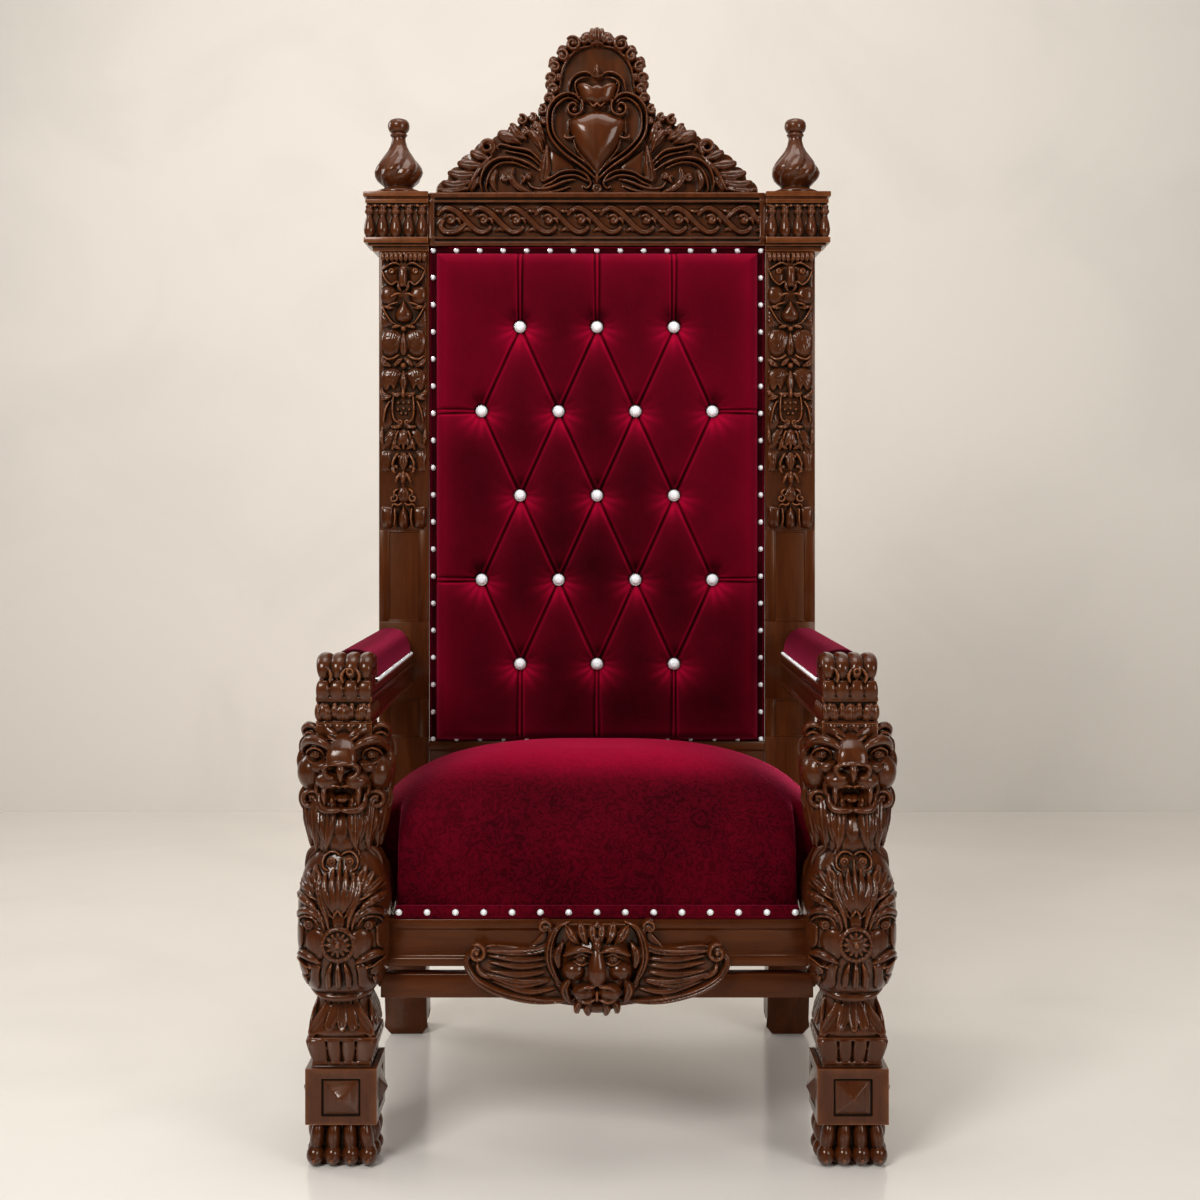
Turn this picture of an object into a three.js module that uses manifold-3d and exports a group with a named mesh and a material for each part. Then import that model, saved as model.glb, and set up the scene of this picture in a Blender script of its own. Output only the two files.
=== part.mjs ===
// A carved hardwood throne with a tufted back, a domed seat and padded arms.
// Millimetres, +Z up. The front faces -Y, and the origin is on the floor under the middle of the chair.
// Carving is built from strands (tapering, oval-sectioned lengths along a smooth path) and balls (ellipsoids)
// that are joined to the plain block they are cut from.

import * as THREE from "three";
import { mergeVertices } from "three/addons/utils/BufferGeometryUtils.js";
import Module from "manifold-3d";

const wasm = await Module();
wasm.setup();

// Driving dimensions
const POST_X = 364; // middle of each front post, from the chair's middle plane
const FRONT_Y = -335; // front face of the blocks above the paws
const BACK_Y = 265; // front face of the uprights of the back
const BACK_DEPTH = 70; // thickness of the uprights, front to back
const REAR_Y = 376; // heel of the splayed back feet
const STILE_IN = 296; // inner face of each upright
const STILE_OUT = 384; // outer face of each upright
const STILE_TOP = 1389; // top of the uprights, under the capitals
const RAIL_TOP = 1493; // top of the top rail and of the capitals
const ARM_UNDER = 627; // underside of the arms
const ARM_TOP = 680; // top of the wooden arm, under its pad
const SEAT_Z = 347; // top of the seat rails, under the seat pad
const SEAT_CROWN = 564; // highest point of the seat pad
const TENON = 14; // how far a rail enters its post
const GAP = 0.3; // clearance between neighbouring pieces

const BACK_PAD = { halfWidth: 295.5, low: 527.5, high: 1398.7, border: 12 };
const TUFT = { acrossStep: 67.3, upStep: 73.7, middleZ: 960, dimple: 255, crown: 233, edge: 262 };
const FRIEZE = { curls: 10, pitch: 57.4, middleZ: 1445.5, face: 271 };

// ---------------------------------------------------------------- shapes, joins and cuts

// A closed geometry as a solid that can be joined and cut. A solid is passed on as it is.
function solid(shape) {
  if (!shape.isBufferGeometry) return shape;
  const bare = shape.clone();
  for (const name of Object.keys(bare.attributes)) if (name !== "position") bare.deleteAttribute(name);
  const merged = mergeVertices(bare, 1e-4);
  const corners = merged.index.array;
  const kept = [];
  for (let i = 0; i < corners.length; i += 3) {
    const [a, b, c] = corners.slice(i, i + 3);
    if (a !== b && b !== c && c !== a) kept.push(a, b, c);
  }
  const vertProperties = new Float32Array(merged.attributes.position.array);
  return new wasm.Manifold(new wasm.Mesh({ numProp: 3, vertProperties, triVerts: new Uint32Array(kept) }));
}

function join(...shapes) {
  return wasm.Manifold.union(shapes.flat(Infinity).map(solid));
}

function cut(from, ...tools) {
  return solid(from).subtract(join(tools));
}

// The same form on both sides of x = 0: make(side) is called with side -1 and 1.
function bothSides(make) {
  return [make(-1), make(1)];
}

// A box from its two limits on each axis, in either order.
function box([x0, x1], [y0, y1], [z0, z1]) {
  const geometry = new THREE.BoxGeometry(Math.abs(x1 - x0), Math.abs(y1 - y0), Math.abs(z1 - z0));
  return geometry.translate((x0 + x1) / 2, (y0 + y1) / 2, (z0 + z1) / 2);
}

// An ellipsoid with its poles at the front and the back.
function ball(centre, radii, sides = 6, rings = 3) {
  return new THREE.SphereGeometry(1, sides, rings).scale(...radii).translate(...centre);
}

// A closed strand along a smooth path through the points. Width and depth are half sizes, numbers or
// functions of the way along from 0 to 1; depth is measured towards `face`. With three sides it has a ridge,
// like a leaf.
function strand(points, width, depth, { face = [0, -1, 0], sides = 3, steps = 3, blunt = 0.45 } = {}) {
  const path = new THREE.CatmullRomCurve3(points.map((point) => new THREE.Vector3(...point)));
  const towards = new THREE.Vector3(...face);
  const at = (size, way) => (typeof size === "function" ? size(way) : size);
  const geometry = new THREE.SphereGeometry(1, sides, steps, Math.PI / 2);
  const position = geometry.getAttribute("position");
  for (let i = 0; i < position.count; i++) {
    const way = Math.acos(THREE.MathUtils.clamp(position.getY(i), -1, 1)) / Math.PI;
    const around = Math.atan2(position.getZ(i), position.getX(i));
    const along = path.getTangent(way);
    const across = towards.clone().cross(along).normalize();
    const out = along.clone().cross(across);
    const round = (4 * way * (1 - way)) ** blunt;
    const point = path.getPoint(way);
    point.addScaledVector(across, Math.cos(around) * at(width, way) * round);
    point.addScaledVector(out, Math.sin(around) * at(depth, way) * round);
    position.setXYZ(i, point.x, point.y, point.z);
  }
  return geometry;
}

// A solid turned about the Z axis: profile points are [radius, z], from the bottom to the top.
function turned(profile, sides) {
  const points = profile.map(([radius, z]) => new THREE.Vector2(radius, z));
  return new THREE.LatheGeometry(points, sides).rotateX(Math.PI / 2);
}

function asShape(outline) {
  if (outline instanceof THREE.Shape) return outline;
  return new THREE.Shape(outline.map((at) => new THREE.Vector2(...at)));
}

// A front-view outline of [x, z] points, or a shape, given a thickness from y0 to y1.
function plate(outline, [y0, y1], curveSegments = 6) {
  const options = { depth: y1 - y0, bevelEnabled: false, curveSegments };
  return new THREE.ExtrudeGeometry(asShape(outline), options).rotateX(Math.PI / 2).translate(0, y1, 0);
}

// A side-view outline of [y, z] points, or a shape, given a length from x0 to x1.
function lengthways(outline, [x0, x1], curveSegments = 6) {
  const options = { depth: x1 - x0, bevelEnabled: false, curveSegments };
  const [x, y, z] = [new THREE.Vector3(1, 0, 0), new THREE.Vector3(0, 1, 0), new THREE.Vector3(0, 0, 1)];
  const turn = new THREE.Matrix4().makeBasis(y, z, x);
  return new THREE.ExtrudeGeometry(asShape(outline), options).applyMatrix4(turn).translate(x0, 0, 0);
}

// Rounded rectangular sections, one above another: each ring has z, halfX, front and back. A higher square is
// boxier, and flute(angle, z) scales the section outwards in each direction.
function stack(rings, { sides = 16, square = 2.6, flute = () => 1 } = {}) {
  const geometry = new THREE.CylinderGeometry(1, 1, 1, sides, rings.length - 1).rotateX(Math.PI / 2);
  const position = geometry.getAttribute("position");
  const bulge = (value) => (Math.abs(value) < 1e-6 ? 0 : Math.sign(value) * Math.abs(value) ** (2 / square));
  for (let i = 0; i < position.count; i++) {
    const ring = rings[Math.round((position.getZ(i) + 0.5) * (rings.length - 1))];
    const around = Math.atan2(position.getY(i), position.getX(i));
    const radius = Math.hypot(position.getX(i), position.getY(i)) * flute(around, ring.z);
    const x = radius * ring.halfX * bulge(Math.cos(around));
    const halfY = (ring.back - ring.front) / 2;
    position.setXYZ(i, x, ring.front + halfY + radius * halfY * bulge(Math.sin(around)), ring.z);
  }
  return geometry;
}

// A four-sided pyramid standing on a rectangle in the XZ plane, its tip towards -Y.
function stud([width, height], rise, [x, y, z]) {
  const geometry = new THREE.ConeGeometry(Math.SQRT1_2, 1, 4).rotateY(Math.PI / 4);
  return geometry.scale(width, rise, height).rotateX(Math.PI).translate(x, y - rise / 2, z);
}

// ---------------------------------------------------------------- front posts, modelled about x = 0

const BLOCK = { half: 51, low: 61, high: 141 };
const POST_Y = FRONT_Y + BLOCK.half; // middle of the post, front to back
const BODY_FRONT = -366; // the carved body's front where it is fullest
const BODY_BACK = -220;

// A square section about the post's axis.
function postRing(z, half) {
  return { z, halfX: half, front: POST_Y - half, back: POST_Y + half };
}

// A shape made for the front of the post, turned to the post's four faces or to some of them.
function onFaces(shape, quarters) {
  const turnTo = (quarter) => shape.clone().rotateZ((quarter * Math.PI) / 2).translate(0, POST_Y, 0);
  return quarters.map(turnTo);
}

function paw() {
  const foot = stack(
    [
      { z: 0, halfX: 42, front: FRONT_Y + 14, back: FRONT_Y + 92 },
      { z: 16, halfX: 46, front: FRONT_Y + 12, back: FRONT_Y + 97 },
      { z: 62, halfX: 42, front: FRONT_Y + 18, back: FRONT_Y + 94 },
    ],
    { sides: 8, square: 6 },
  );
  const toe = { sides: 5, steps: 3, blunt: 0.3 };
  const frontToe = (x) => {
    const path = [[x * 0.85, FRONT_Y + 24, 60], [x * 0.95, FRONT_Y + 12, 38], [x, FRONT_Y + 14, 2]];
    return strand(path, (t) => 9 + 5 * t, 15, toe);
  };
  const sideToe = (side, y) => {
    const path = [[side * 32, y, 60], [side * 41, y, 38], [side * 38, y, 2]];
    return strand(path, 24, 14, { ...toe, face: [side, 0, 0] });
  };
  const toes = [-38, -12.7, 12.7, 38].map(frontToe);
  const sides = bothSides((side) => sideToe(side, FRONT_Y + 52));
  return cut(join(foot, toes, sides), box([-80, 80], [FRONT_Y - 40, FRONT_Y + 160], [-30, 0]));
}

// The square block, with a sunk panel and a raised pyramid on its front and its two sides.
function block() {
  const { half, low, high } = BLOCK;
  const z = (low + high) / 2;
  const [halfWide, halfHigh, sink] = [26, 24, 3];
  const sunk = box([-halfWide, halfWide], [-half - 1, -half + sink], [z - halfHigh, z + halfHigh]);
  const raised = stud([2 * halfWide - 5, 2 * halfHigh - 5], 13, [0, -half + sink, z]);
  const cube = box([-half, half], [POST_Y - half, POST_Y + half], [low, high]);
  return join(cut(cube, onFaces(sunk, [0, 1, 3])), onFaces(raised, [0, 1, 3]));
}

// The flared cap on the block, grooved into upright tiles.
function flare() {
  const [low, high, bottom, top] = [BLOCK.high + 5, 181, 41, 50];
  const cup = new THREE.CylinderGeometry(top * Math.SQRT2, bottom * Math.SQRT2, high - low, 4);
  cup.rotateY(Math.PI / 4).rotateX(Math.PI / 2).translate(0, POST_Y, (low + high) / 2);
  const lean = Math.atan((top - bottom) / (high - low));
  const groove = (x) => box([x - 1.5, x + 1.5], [-5, 3], [-6, 42]).rotateX(lean).translate(0, -bottom, low);
  const grooves = [-24, 0, 24].map((x) => onFaces(groove(x), [0]));
  const neck = box([-42, 42], [POST_Y - 42, POST_Y + 42], [BLOCK.high - 1, low + 2]);
  const lip = box([-50, 50], [POST_Y - 50, POST_Y + 50], [high - 1, high + 3]);
  return join(cut(cup, grooves), neck, lip);
}

// The waisted skirt of hanging leaves, as a fluted form with a scalloped hem.
function skirt() {
  const leaves = 10;
  const rings = [[183, 44], [196, 47], [212, 41], [240, 37]].map(([z, half]) => postRing(z, half));
  const flute = (angle, z) => 1 + (z < 230 ? 0.055 : 0.01) * Math.cos(leaves * (angle + Math.PI / 2));
  return stack(rings, { sides: 2 * leaves, square: 3.4, flute });
}

const BODY = [
  { z: 230, halfX: 38, inset: 48 },
  { z: 246, halfX: 54, inset: 30 },
  { z: 270, halfX: 63, inset: 12 },
  { z: 315, halfX: 66, inset: 0 },
  { z: 380, halfX: 65, inset: 5 },
  { z: 412, halfX: 60, inset: 14 },
  { z: 440, halfX: 50, inset: 28 },
  { z: 464, halfX: 34, inset: 44 },
].map((ring) => ({ ...ring, front: BODY_FRONT + ring.inset, back: BODY_BACK - ring.inset * 0.35 }));
const BODY_SQUARE = 2.7;

// A point on the front of the carved body, lifted off it.
function onBody(x, z, lift = 0) {
  const above = BODY[Math.max(1, BODY.findIndex((ring) => ring.z >= z))];
  const under = BODY[BODY.indexOf(above) - 1];
  const share = (z - under.z) / (above.z - under.z);
  const [halfX, front, back] = ["halfX", "front", "back"].map((key) =>
    THREE.MathUtils.lerp(under[key], above[key], share),
  );
  const across = Math.min(1, Math.abs(x) / halfX);
  const bow = (1 - across ** BODY_SQUARE) ** (1 / BODY_SQUARE);
  return [x, (front + back) / 2 - (bow * (back - front)) / 2 - lift, z];
}

// The oval body: plain form first, then a rosette, brow leaves, eyes, cheeks and lower leaves.
function body() {
  const core = stack(BODY, { sides: 10, square: BODY_SQUARE });
  const disc = [[0, -8], [25, -8], [25, 5], [0, 10]];
  const rosette = turned(disc, 9).rotateX(Math.PI / 2).translate(0, BODY_FRONT + 1, 323);
  const fan = [-27, 0, 27].map((x) =>
    strand([onBody(x * 0.3, 440), onBody(x * 0.9, 408, 4), onBody(x, 366)], 12, 9),
  );
  const lower = strand([onBody(0, 302), onBody(0, 280, 4), onBody(0, 254)], 13, 9);
  const half = (side) => {
    const alongSide = [[side * 54, -322, 410], [side * 60, -280, 350], [side * 54, -244, 280]];
    return [
      strand([onBody(side * 22, 380), onBody(side * 44, 390, 2), onBody(side * 62, 364)], 11, 12), // brow
      ball(onBody(side * 38, 334, -6), [18, 15, 20]), // cheek
      strand([onBody(side * 26, 306), onBody(side * 40, 286, 3), onBody(side * 42, 252)], 17, 12), // lower
      strand(alongSide, 24, 11, { face: [side, 0, 0] }), // leaf on the flank
    ];
  };
  const hood = strand([onBody(-28, 434), onBody(0, 455, 2), onBody(28, 434)], 7, 10);
  return join(core, rosette, fan, lower, bothSides(half), hood);
}

// The maned throat, from the body up to the jaw, its locks as flutes that lean outwards.
function mane() {
  const locks = 8;
  const rings = [
    { z: 446, halfX: 42, front: -336, back: -234 },
    { z: 486, halfX: 53, front: -330, back: -230 },
    { z: 530, halfX: 60, front: -306, back: -232 },
    { z: 590, halfX: 60, front: -296, back: -232 },
  ];
  const flute = (angle) => 1 + 0.06 * Math.cos(locks * (angle + Math.PI / 2));
  return stack(rings, { sides: 2 * locks, square: 2.4, flute });
}

// The snarling lion head that carries the arm.
function lionHead() {
  const skull = ball([0, -277, 576], [58, 47, 46], 8, 4);
  const nosePath = [[0, -296, 612], [0, -322, 592], [0, -334, 558]];
  const bridge = strand(nosePath, (t) => 19 + 6 * t, 17, { sides: 5 });
  const crown = box([-37, 37], [-314, -240], [604, ARM_UNDER - GAP]);
  const half = (side) => {
    const path = (points) => points.map(([x, y, z]) => [side * x, y, z]);
    return [
      ball([side * 19, -322, 549], [20, 18, 14]), // upper lip
      ball([side * 47, -299, 554], [24, 26, 26]), // cheek
      ball([side * 39, -311, 581], [12, 12, 9], 5), // eye
      strand(path([[4, -318, 592], [26, -322, 602], [58, -294, 592]]), 9, 13), // brow
      strand(path([[48, -272, 616], [58, -272, 590], [50, -272, 556]]), 13, 16, { sides: 4 }), // ear
      strand(path([[24, -322, 552], [24, -331, 532], [24, -326, 512]]), 6, 6), // fang
    ];
  };
  const lip = [[-44, -298, 516], [0, -330, 508], [44, -298, 516]];
  const jaw = strand(lip, 9, 15, { face: [0, 0, 1], sides: 4, steps: 4 });
  const mouth = box([-20, 20], [-345, -300], [522, 538]);
  return cut(join(skull, bridge, crown, bothSides(half), jaw), mouth);
}

const RAIL_REACH = 298 + TENON; // half length of the front rails, with their tenons
const BANDS = { seat: [279, SEAT_Z], lower: [231.5, 266] }; // heights of the two tiers of rails
const FRONT_RAILS = { seat: [-305, -275], lower: [-297, -272] }; // front and back of the front rails
const REAR_RAILS = [285, 315]; // front and back of the rear rails
const HALF_RAIL = 15; // half thickness of the side rails
const SIDE_FRONT = BODY_BACK - TENON; // front end of the side rails

function withGap([low, high]) {
  return [low - GAP, high + GAP];
}

// Where the rails enter a front post; inward is the direction of the chair's middle.
function postMortises(inward) {
  const across = [inward * (POST_X - RAIL_REACH - GAP), inward * 100];
  return ["seat", "lower"].flatMap((tier) => [
    box(across, withGap(FRONT_RAILS[tier]), withGap(BANDS[tier])),
    box([-HALF_RAIL - GAP, HALF_RAIL + GAP], [SIDE_FRONT - GAP, -200], withGap(BANDS[tier])),
  ]);
}

function frontPost(side) {
  return cut(join(paw(), block(), flare(), skirt(), body(), mane(), lionHead()), postMortises(-side));
}

// ---------------------------------------------------------------- arms, modelled about x = 0

const ARM = { half: 41, front: -306, toes: [-30.5, -10.2, 10.2, 30.5] };

function arm() {
  const { half, front, toes } = ARM;
  const groove = half - 3;
  const right = [[half, ARM_UNDER], [half, 660], [groove, 662], [groove, 666], [half, 668], [half, ARM_TOP]];
  const left = right.map(([x, z]) => [-x, z]).reverse();
  const length = plate([...right, ...left], [front, BACK_Y - GAP]);
  const knuckle = (x) => {
    const path = [[x, -234, 690], [x, -262, 712], [x, -298, 708], [x, -302, 676]];
    return strand(path, 11.5, 16, { face: [0, -1, 1], sides: 5, steps: 4, blunt: 0.3 });
  };
  const palm = box([-38, 38], [-292, -238], [ARM_TOP - 2, 704]);
  return join(length, toes.map(knuckle), toes.map((x) => ball([x, front, 648], [11, 9, 15])), palm);
}

// The half-round pad on the arm, behind the carved paw.
function armPad() {
  const [half, rise, low] = [37, 48, ARM_TOP + GAP];
  const shape = new THREE.Shape().moveTo(-half, low);
  shape.lineTo(half, low);
  shape.bezierCurveTo(half, low + rise * 0.75, half * 0.6, low + rise, 0, low + rise);
  shape.bezierCurveTo(-half * 0.6, low + rise, -half, low + rise * 0.75, -half, low);
  return plate(shape, [-222, BACK_Y - GAP], 6);
}

// ---------------------------------------------------------------- uprights, modelled about x = 0

const STILE = { middle: (STILE_IN + STILE_OUT) / 2, half: (STILE_OUT - STILE_IN) / 2 };

// The carved drop on the front of an upright: a mask, then leaves, a flower, a bell and a base.
function drop() {
  const on = (x, z, lift = 3) => [x, BACK_Y - lift, z];
  const pair = (points, width, depth) =>
    bothSides((side) => strand(points.map(([x, z]) => on(side * x, z)), width, depth));
  const leaves = (z, length, width, spread) =>
    pair([[5, z + length / 2], [spread, z], [spread + 3, z - length / 2]], width, 13);
  const mask = [
    strand([on(-41, 1370), on(0, 1379), on(41, 1370)], 8, 11, { steps: 4 }), // hair
    pair([[4, 1354], [20, 1364], [40, 1350]], 6, 16), // brow
    strand([on(0, 1366), on(0, 1342, 4), on(0, 1316, 4)], 10, 13), // nose
    bothSides((side) => ball(on(side * 24, 1312), [20, 16, 18])), // cheek
    ball(on(0, 1278), [17, 15, 22]), // chin
  ];
  return [
    mask,
    leaves(1225, 62, 18, 22),
    leaves(1163, 54, 18, 22),
    ball(on(0, 1116), [18, 15, 21]),
    leaves(1100, 56, 15, 27),
    leaves(1050, 54, 13, 26),
    strand([on(0, 1088), on(0, 1058, 4), on(0, 1030)], 14, 14),
    ball(on(0, 1020), [15, 13, 14]),
    strand([on(0, 1010), on(0, 988, 2), on(0, 950)], (t) => 8 + 16 * t, 14, { sides: 4, blunt: 0.3 }),
    [-26, 0, 26].map((x) => strand([on(x, 944), on(x, 918, 3), on(x, 898)], 14, 15)),
  ];
}

// One upright and its splayed back foot, cut from a single board.
function stile(side) {
  const { half } = STILE;
  const back = BACK_Y + BACK_DEPTH;
  const profile = new THREE.Shape().moveTo(BACK_Y, STILE_TOP);
  profile.lineTo(BACK_Y, 225);
  profile.bezierCurveTo(BACK_Y, 130, REAR_Y - 80, 60, REAR_Y - 72, 0);
  profile.lineTo(REAR_Y, 0);
  profile.bezierCurveTo(REAR_Y + 2, 40, back, 110, back, 225);
  profile.lineTo(back, STILE_TOP);
  const rightEdge = [[half - 16, 0], [half - 7, 14], [half - 7, 228], [half, 262], [half, STILE_TOP]];
  const leftEdge = rightEdge.map(([x, z]) => [-x, z]).reverse();
  const front = plate([...rightEdge, ...leftEdge], [BACK_Y - 5, REAR_Y + 5]);
  const board = solid(lengthways(profile, [-half, half], 4)).intersect(solid(front));
  const panels = [[712, 893], [400, 600]].map((z) => box([-28, 28], [BACK_Y - 5, BACK_Y + 3], z));
  const inward = -side;
  const shift = side * (POST_X - STILE.middle);
  const mortises = Object.values(BANDS).flatMap((band) => [
    box([inward * (half - TENON - GAP), inward * (half + 5)], withGap(REAR_RAILS), withGap(band)),
    box(withGap([shift - HALF_RAIL, shift + HALF_RAIL]), [BACK_Y - 5, BACK_Y + TENON + GAP], withGap(band)),
  ]);
  return cut(join(board, drop()), panels, mortises);
}

// ---------------------------------------------------------------- top of the back

const CAPITAL = { inner: 295.9, outer: 410, front: 246, back: 352 };
const FINIAL_X = (CAPITAL.inner + CAPITAL.outer) / 2;
const FINIAL_Y = (CAPITAL.front + CAPITAL.back) / 2;

function capital(side) {
  const { inner, outer, front, back } = CAPITAL;
  const x = (from) => side * (outer - from); // measured in from the outer edge
  const layer = (low, high, inset) =>
    box([side * inner, x(inset)], [front + inset, back - inset], [low, high]);
  const layers = [
    [1486, RAIL_TOP, 0],
    [1472, 1487, 4],
    [1412, 1473, 9],
    [1403, 1413, 1],
    [STILE_TOP + GAP, 1404, 12],
  ].map((heights) => layer(...heights));
  const [turning, pitch, proud] = [[[0, 1413], [8.5, 1424], [4, 1450], [7, 1460], [0, 1473]], 23.2, 8.5];
  const baluster = (...place) => turned(turning, 4).translate(...place);
  const fronts = [0, 1, 2, 3, 4].map((i) => baluster(x(9 + i * pitch), front + proud, 0));
  const sides = [1, 2, 3].map((i) => baluster(x(proud), front + proud + i * pitch, 0));
  return cut(join(layers, fronts, sides), box([0, side * inner], [0, 500], [1300, 1600]));
}

// A turned finial, about x = 0 and y = 0: its bulb is fluted in a spiral.
function finial() {
  const base = RAIL_TOP + GAP;
  const profile = [
    [0, 0], [42, 0], [42, 6], [28, 14], [42, 36], [38, 56],
    [14, 84], [12, 106], [19, 120], [15, 134], [0, 138],
  ];
  const geometry = turned(profile, 14).translate(0, 0, base);
  const position = geometry.getAttribute("position");
  for (let i = 0; i < position.count; i++) {
    const [x, y, up] = [position.getX(i), position.getY(i), position.getZ(i) - base];
    if (up < 20 || up > 80) continue;
    const swell = 1 + 0.07 * Math.cos(7 * Math.atan2(y, x));
    const turn = new THREE.Vector2(x, y).multiplyScalar(swell).rotateAround(new THREE.Vector2(), up * 0.012);
    position.setXY(i, turn.x, turn.y);
  }
  return geometry;
}

// The top rail: a sunk frieze filled by a chain of S scrolls, each hooking over one curl and under the next.
function topRail() {
  const { curls, pitch, middleZ, face } = FRIEZE;
  const half = CAPITAL.inner - GAP;
  const [low, high, front] = [1399, RAIL_TOP, 258];
  const section = [
    [front, low], [BACK_Y + 65, low], [BACK_Y + 65, high], [front, high],
    [front, 1478], [face, 1476], [face, 1414], [front, 1412],
  ];
  const start = [[-23, 8], [-14, 19]];
  const end = [[10, 15], [38, -14], [58, -21], [74, -9]];
  const opening = [[12, -17], [-10, -21], [-22, -4], [-14, 17]]; // the first curl's own loop
  const closing = [[4, 21], [21, 8], [17, -14], [-3, -21]]; // the last curl's own loop
  const scrolls = Array.from({ length: curls }, (_, i) => {
    const x = (i - (curls - 1) / 2) * pitch;
    const offsets = [...(i === 0 ? opening : start), ...(i === curls - 1 ? closing : end)];
    const path = offsets.map(([dx, dz]) => [x + dx, face - 3, middleZ + dz]);
    return [
      strand(path, 6, 10, { steps: i === 0 ? 8 : 6, blunt: 0.2 }),
      ball([x, face - 3, middleZ], [9, 8, 9], 4),
    ];
  });
  return join(lengthways(section, [-half, half]), scrolls);
}

// An outline, the same on both sides of x = 0, that stands on z = base and bulges out between its hollows.
function scalloped(hollows, base) {
  const right = hollows.map(([x, z]) => new THREE.Vector2(x, base + z));
  const left = right.map(({ x, y }) => new THREE.Vector2(-x, y)).reverse();
  const around = [...right, ...left];
  const shape = new THREE.Shape().moveTo(around[0].x, around[0].y);
  for (let i = 1; i < around.length; i++) {
    const [from, to] = [around[i - 1], around[i]];
    const reach = new THREE.Vector2().subVectors(to, from);
    const bulge = new THREE.Vector2(reach.y, -reach.x).multiplyScalar(0.75);
    const control = from.clone().lerp(to, 0.5).add(bulge);
    shape.quadraticCurveTo(control.x, control.y, to.x, to.y);
  }
  return shape;
}

// The cresting: a pierced ground with a lobed edge, leaf scrolls at the sides and a blank shield in the
// middle.
function crest() {
  const ground = 280; // front of the ground
  const back = 304;
  const base = RAIL_TOP + GAP;
  const on = (x, z, lift = 3) => [x, ground - lift, base + z];
  const hollows = [
    [286, 0], [264, 26], [244, 50], [220, 72], [190, 92], [157, 101], [138, 122], [104, 138],
    [84, 166], [82, 191], [79, 214], [67, 238], [51, 258], [31, 276], [10, 286],
  ];
  const outline = scalloped(hollows, base);
  const hole = (side, [x, z, halfX, halfZ]) => {
    const round = new THREE.CylinderGeometry(1, 1, 100, 5);
    return round.scale(halfX, 1, halfZ).translate(side * x, ground, base + z);
  };
  const half = (side) => {
    const trace = (points) => points.map(([x, z, lift]) => on(side * x, z, lift));
    const heart = [[30, 146], [46, 140], [50, 162], [78, 160], [84, 118], [56, 76], [4, 18]];
    return [
      strand(trace([[88, 158], [100, 146], [122, 130]]), 14, 15), // leaves along the slope
      strand(trace([[112, 118], [150, 108], [178, 98]]), 10, 13),
      strand(trace([[66, 186], [72, 224], [40, 262], [8, 272]]), 6, 9, { steps: 4 }), // rim of the hood
      strand(trace(heart), 7, 15, { steps: 8, blunt: 0.25 }),
      strand(trace([[4, 212], [34, 212], [54, 174]]), 6, 13), // ribbon over the small shield
      strand(trace([[8, 10], [40, 38], [84, 14], [120, 20]]), 9, 13, { steps: 5 }),
      strand(trace([[92, 112], [86, 66], [100, 12]]), (t) => 8 + 12 * t, 13), // drapery beside the shield
      strand(trace([[94, 62], [130, 84], [172, 90]]), 8, 15), // the great C scroll in three strands
      strand(trace([[98, 44], [134, 70], [172, 68], [200, 34], [196, 4]]), 8.5, 16, { steps: 5 }),
      strand(trace([[146, 52], [174, 46], [180, 8]]), 8, 13),
      strand(trace([[154, 40], [126, 44], [138, 20], [120, 6]]), 11, 13, { steps: 4 }), // curled inner leaf
      strand(trace([[198, 66], [216, 48], [242, 22], [276, 6]]), 13, 15), // outer leaf
    ];
  };
  const shield = [
    ball(on(0, 100), [47, 26, 45], 10, 5),
    strand([on(0, 96), on(0, 66), on(0, 40)], (t) => 36 - 26 * t, 22, { sides: 5 }),
    ball(on(0, 178), [30, 17, 25], 8, 4),
    ball(on(0, 213), [9, 15, 14]),
    ball(on(0, 283), [11, 18, 14.5]),
  ];
  const holes = [[106, 27, 9, 6], [164, 7, 6, 8], [45, 3, 12, 6], [218, 6, 7, 7]];
  const bothHoles = bothSides((side) => holes.map((each) => hole(side, each)));
  const below = box([-400, 400], [0, 500], [base - 80, base]);
  return cut(join(plate(outline, [ground, back], 3), bothSides(half), shield), bothHoles, below);
}

// ---------------------------------------------------------------- the back

const BACK_HALF = STILE_IN - GAP; // half width of what fills the space between the uprights

function backLowerRail() {
  const section = [
    [BACK_Y, 455], [BACK_Y + 55, 455], [BACK_Y + 55, 527.2], [BACK_Y, 527.2],
    [BACK_Y, 512], [BACK_Y + 3, 509], [BACK_Y + 3, 478], [BACK_Y, 475],
  ];
  return lengthways(section, [-BACK_HALF, BACK_HALF]);
}

function backPanel() {
  const [front, back] = [304.3, 326];
  const section = [
    [320.3, 455], [back, 455], [back, 560], [back - 4, 564], [back - 4, 1336],
    [back, 1340], [back, 1398.7], [front, 1398.7], [front, 527.5], [320.3, 527.5],
  ];
  return lengthways(section, [-BACK_HALF, BACK_HALF]);
}

// The front of the tufted cushion at a crossing of its grid, i steps across and j steps up from the middle.
// Folds run between the buttons in diamonds, upright above the top row and below the bottom row.
function tuftDepth(i, j) {
  const fromFold = (steps) => Math.abs(THREE.MathUtils.euclideanModulo(steps + 2, 4) - 2);
  const outside = Math.abs(j) > 4;
  const diamond = Math.min(fromFold(i - j), fromFold(i + j));
  const away = outside ? fromFold(i) : diamond;
  const pulled = !outside && fromFold(i - j) === 0 && fromFold(i + j) === 0 && i % 2 === 0;
  const fold = (TUFT.dimple - TUFT.crown) * 0.62;
  return pulled ? TUFT.dimple : TUFT.crown + fold * (1 - away / 2) ** 1.6;
}

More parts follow.
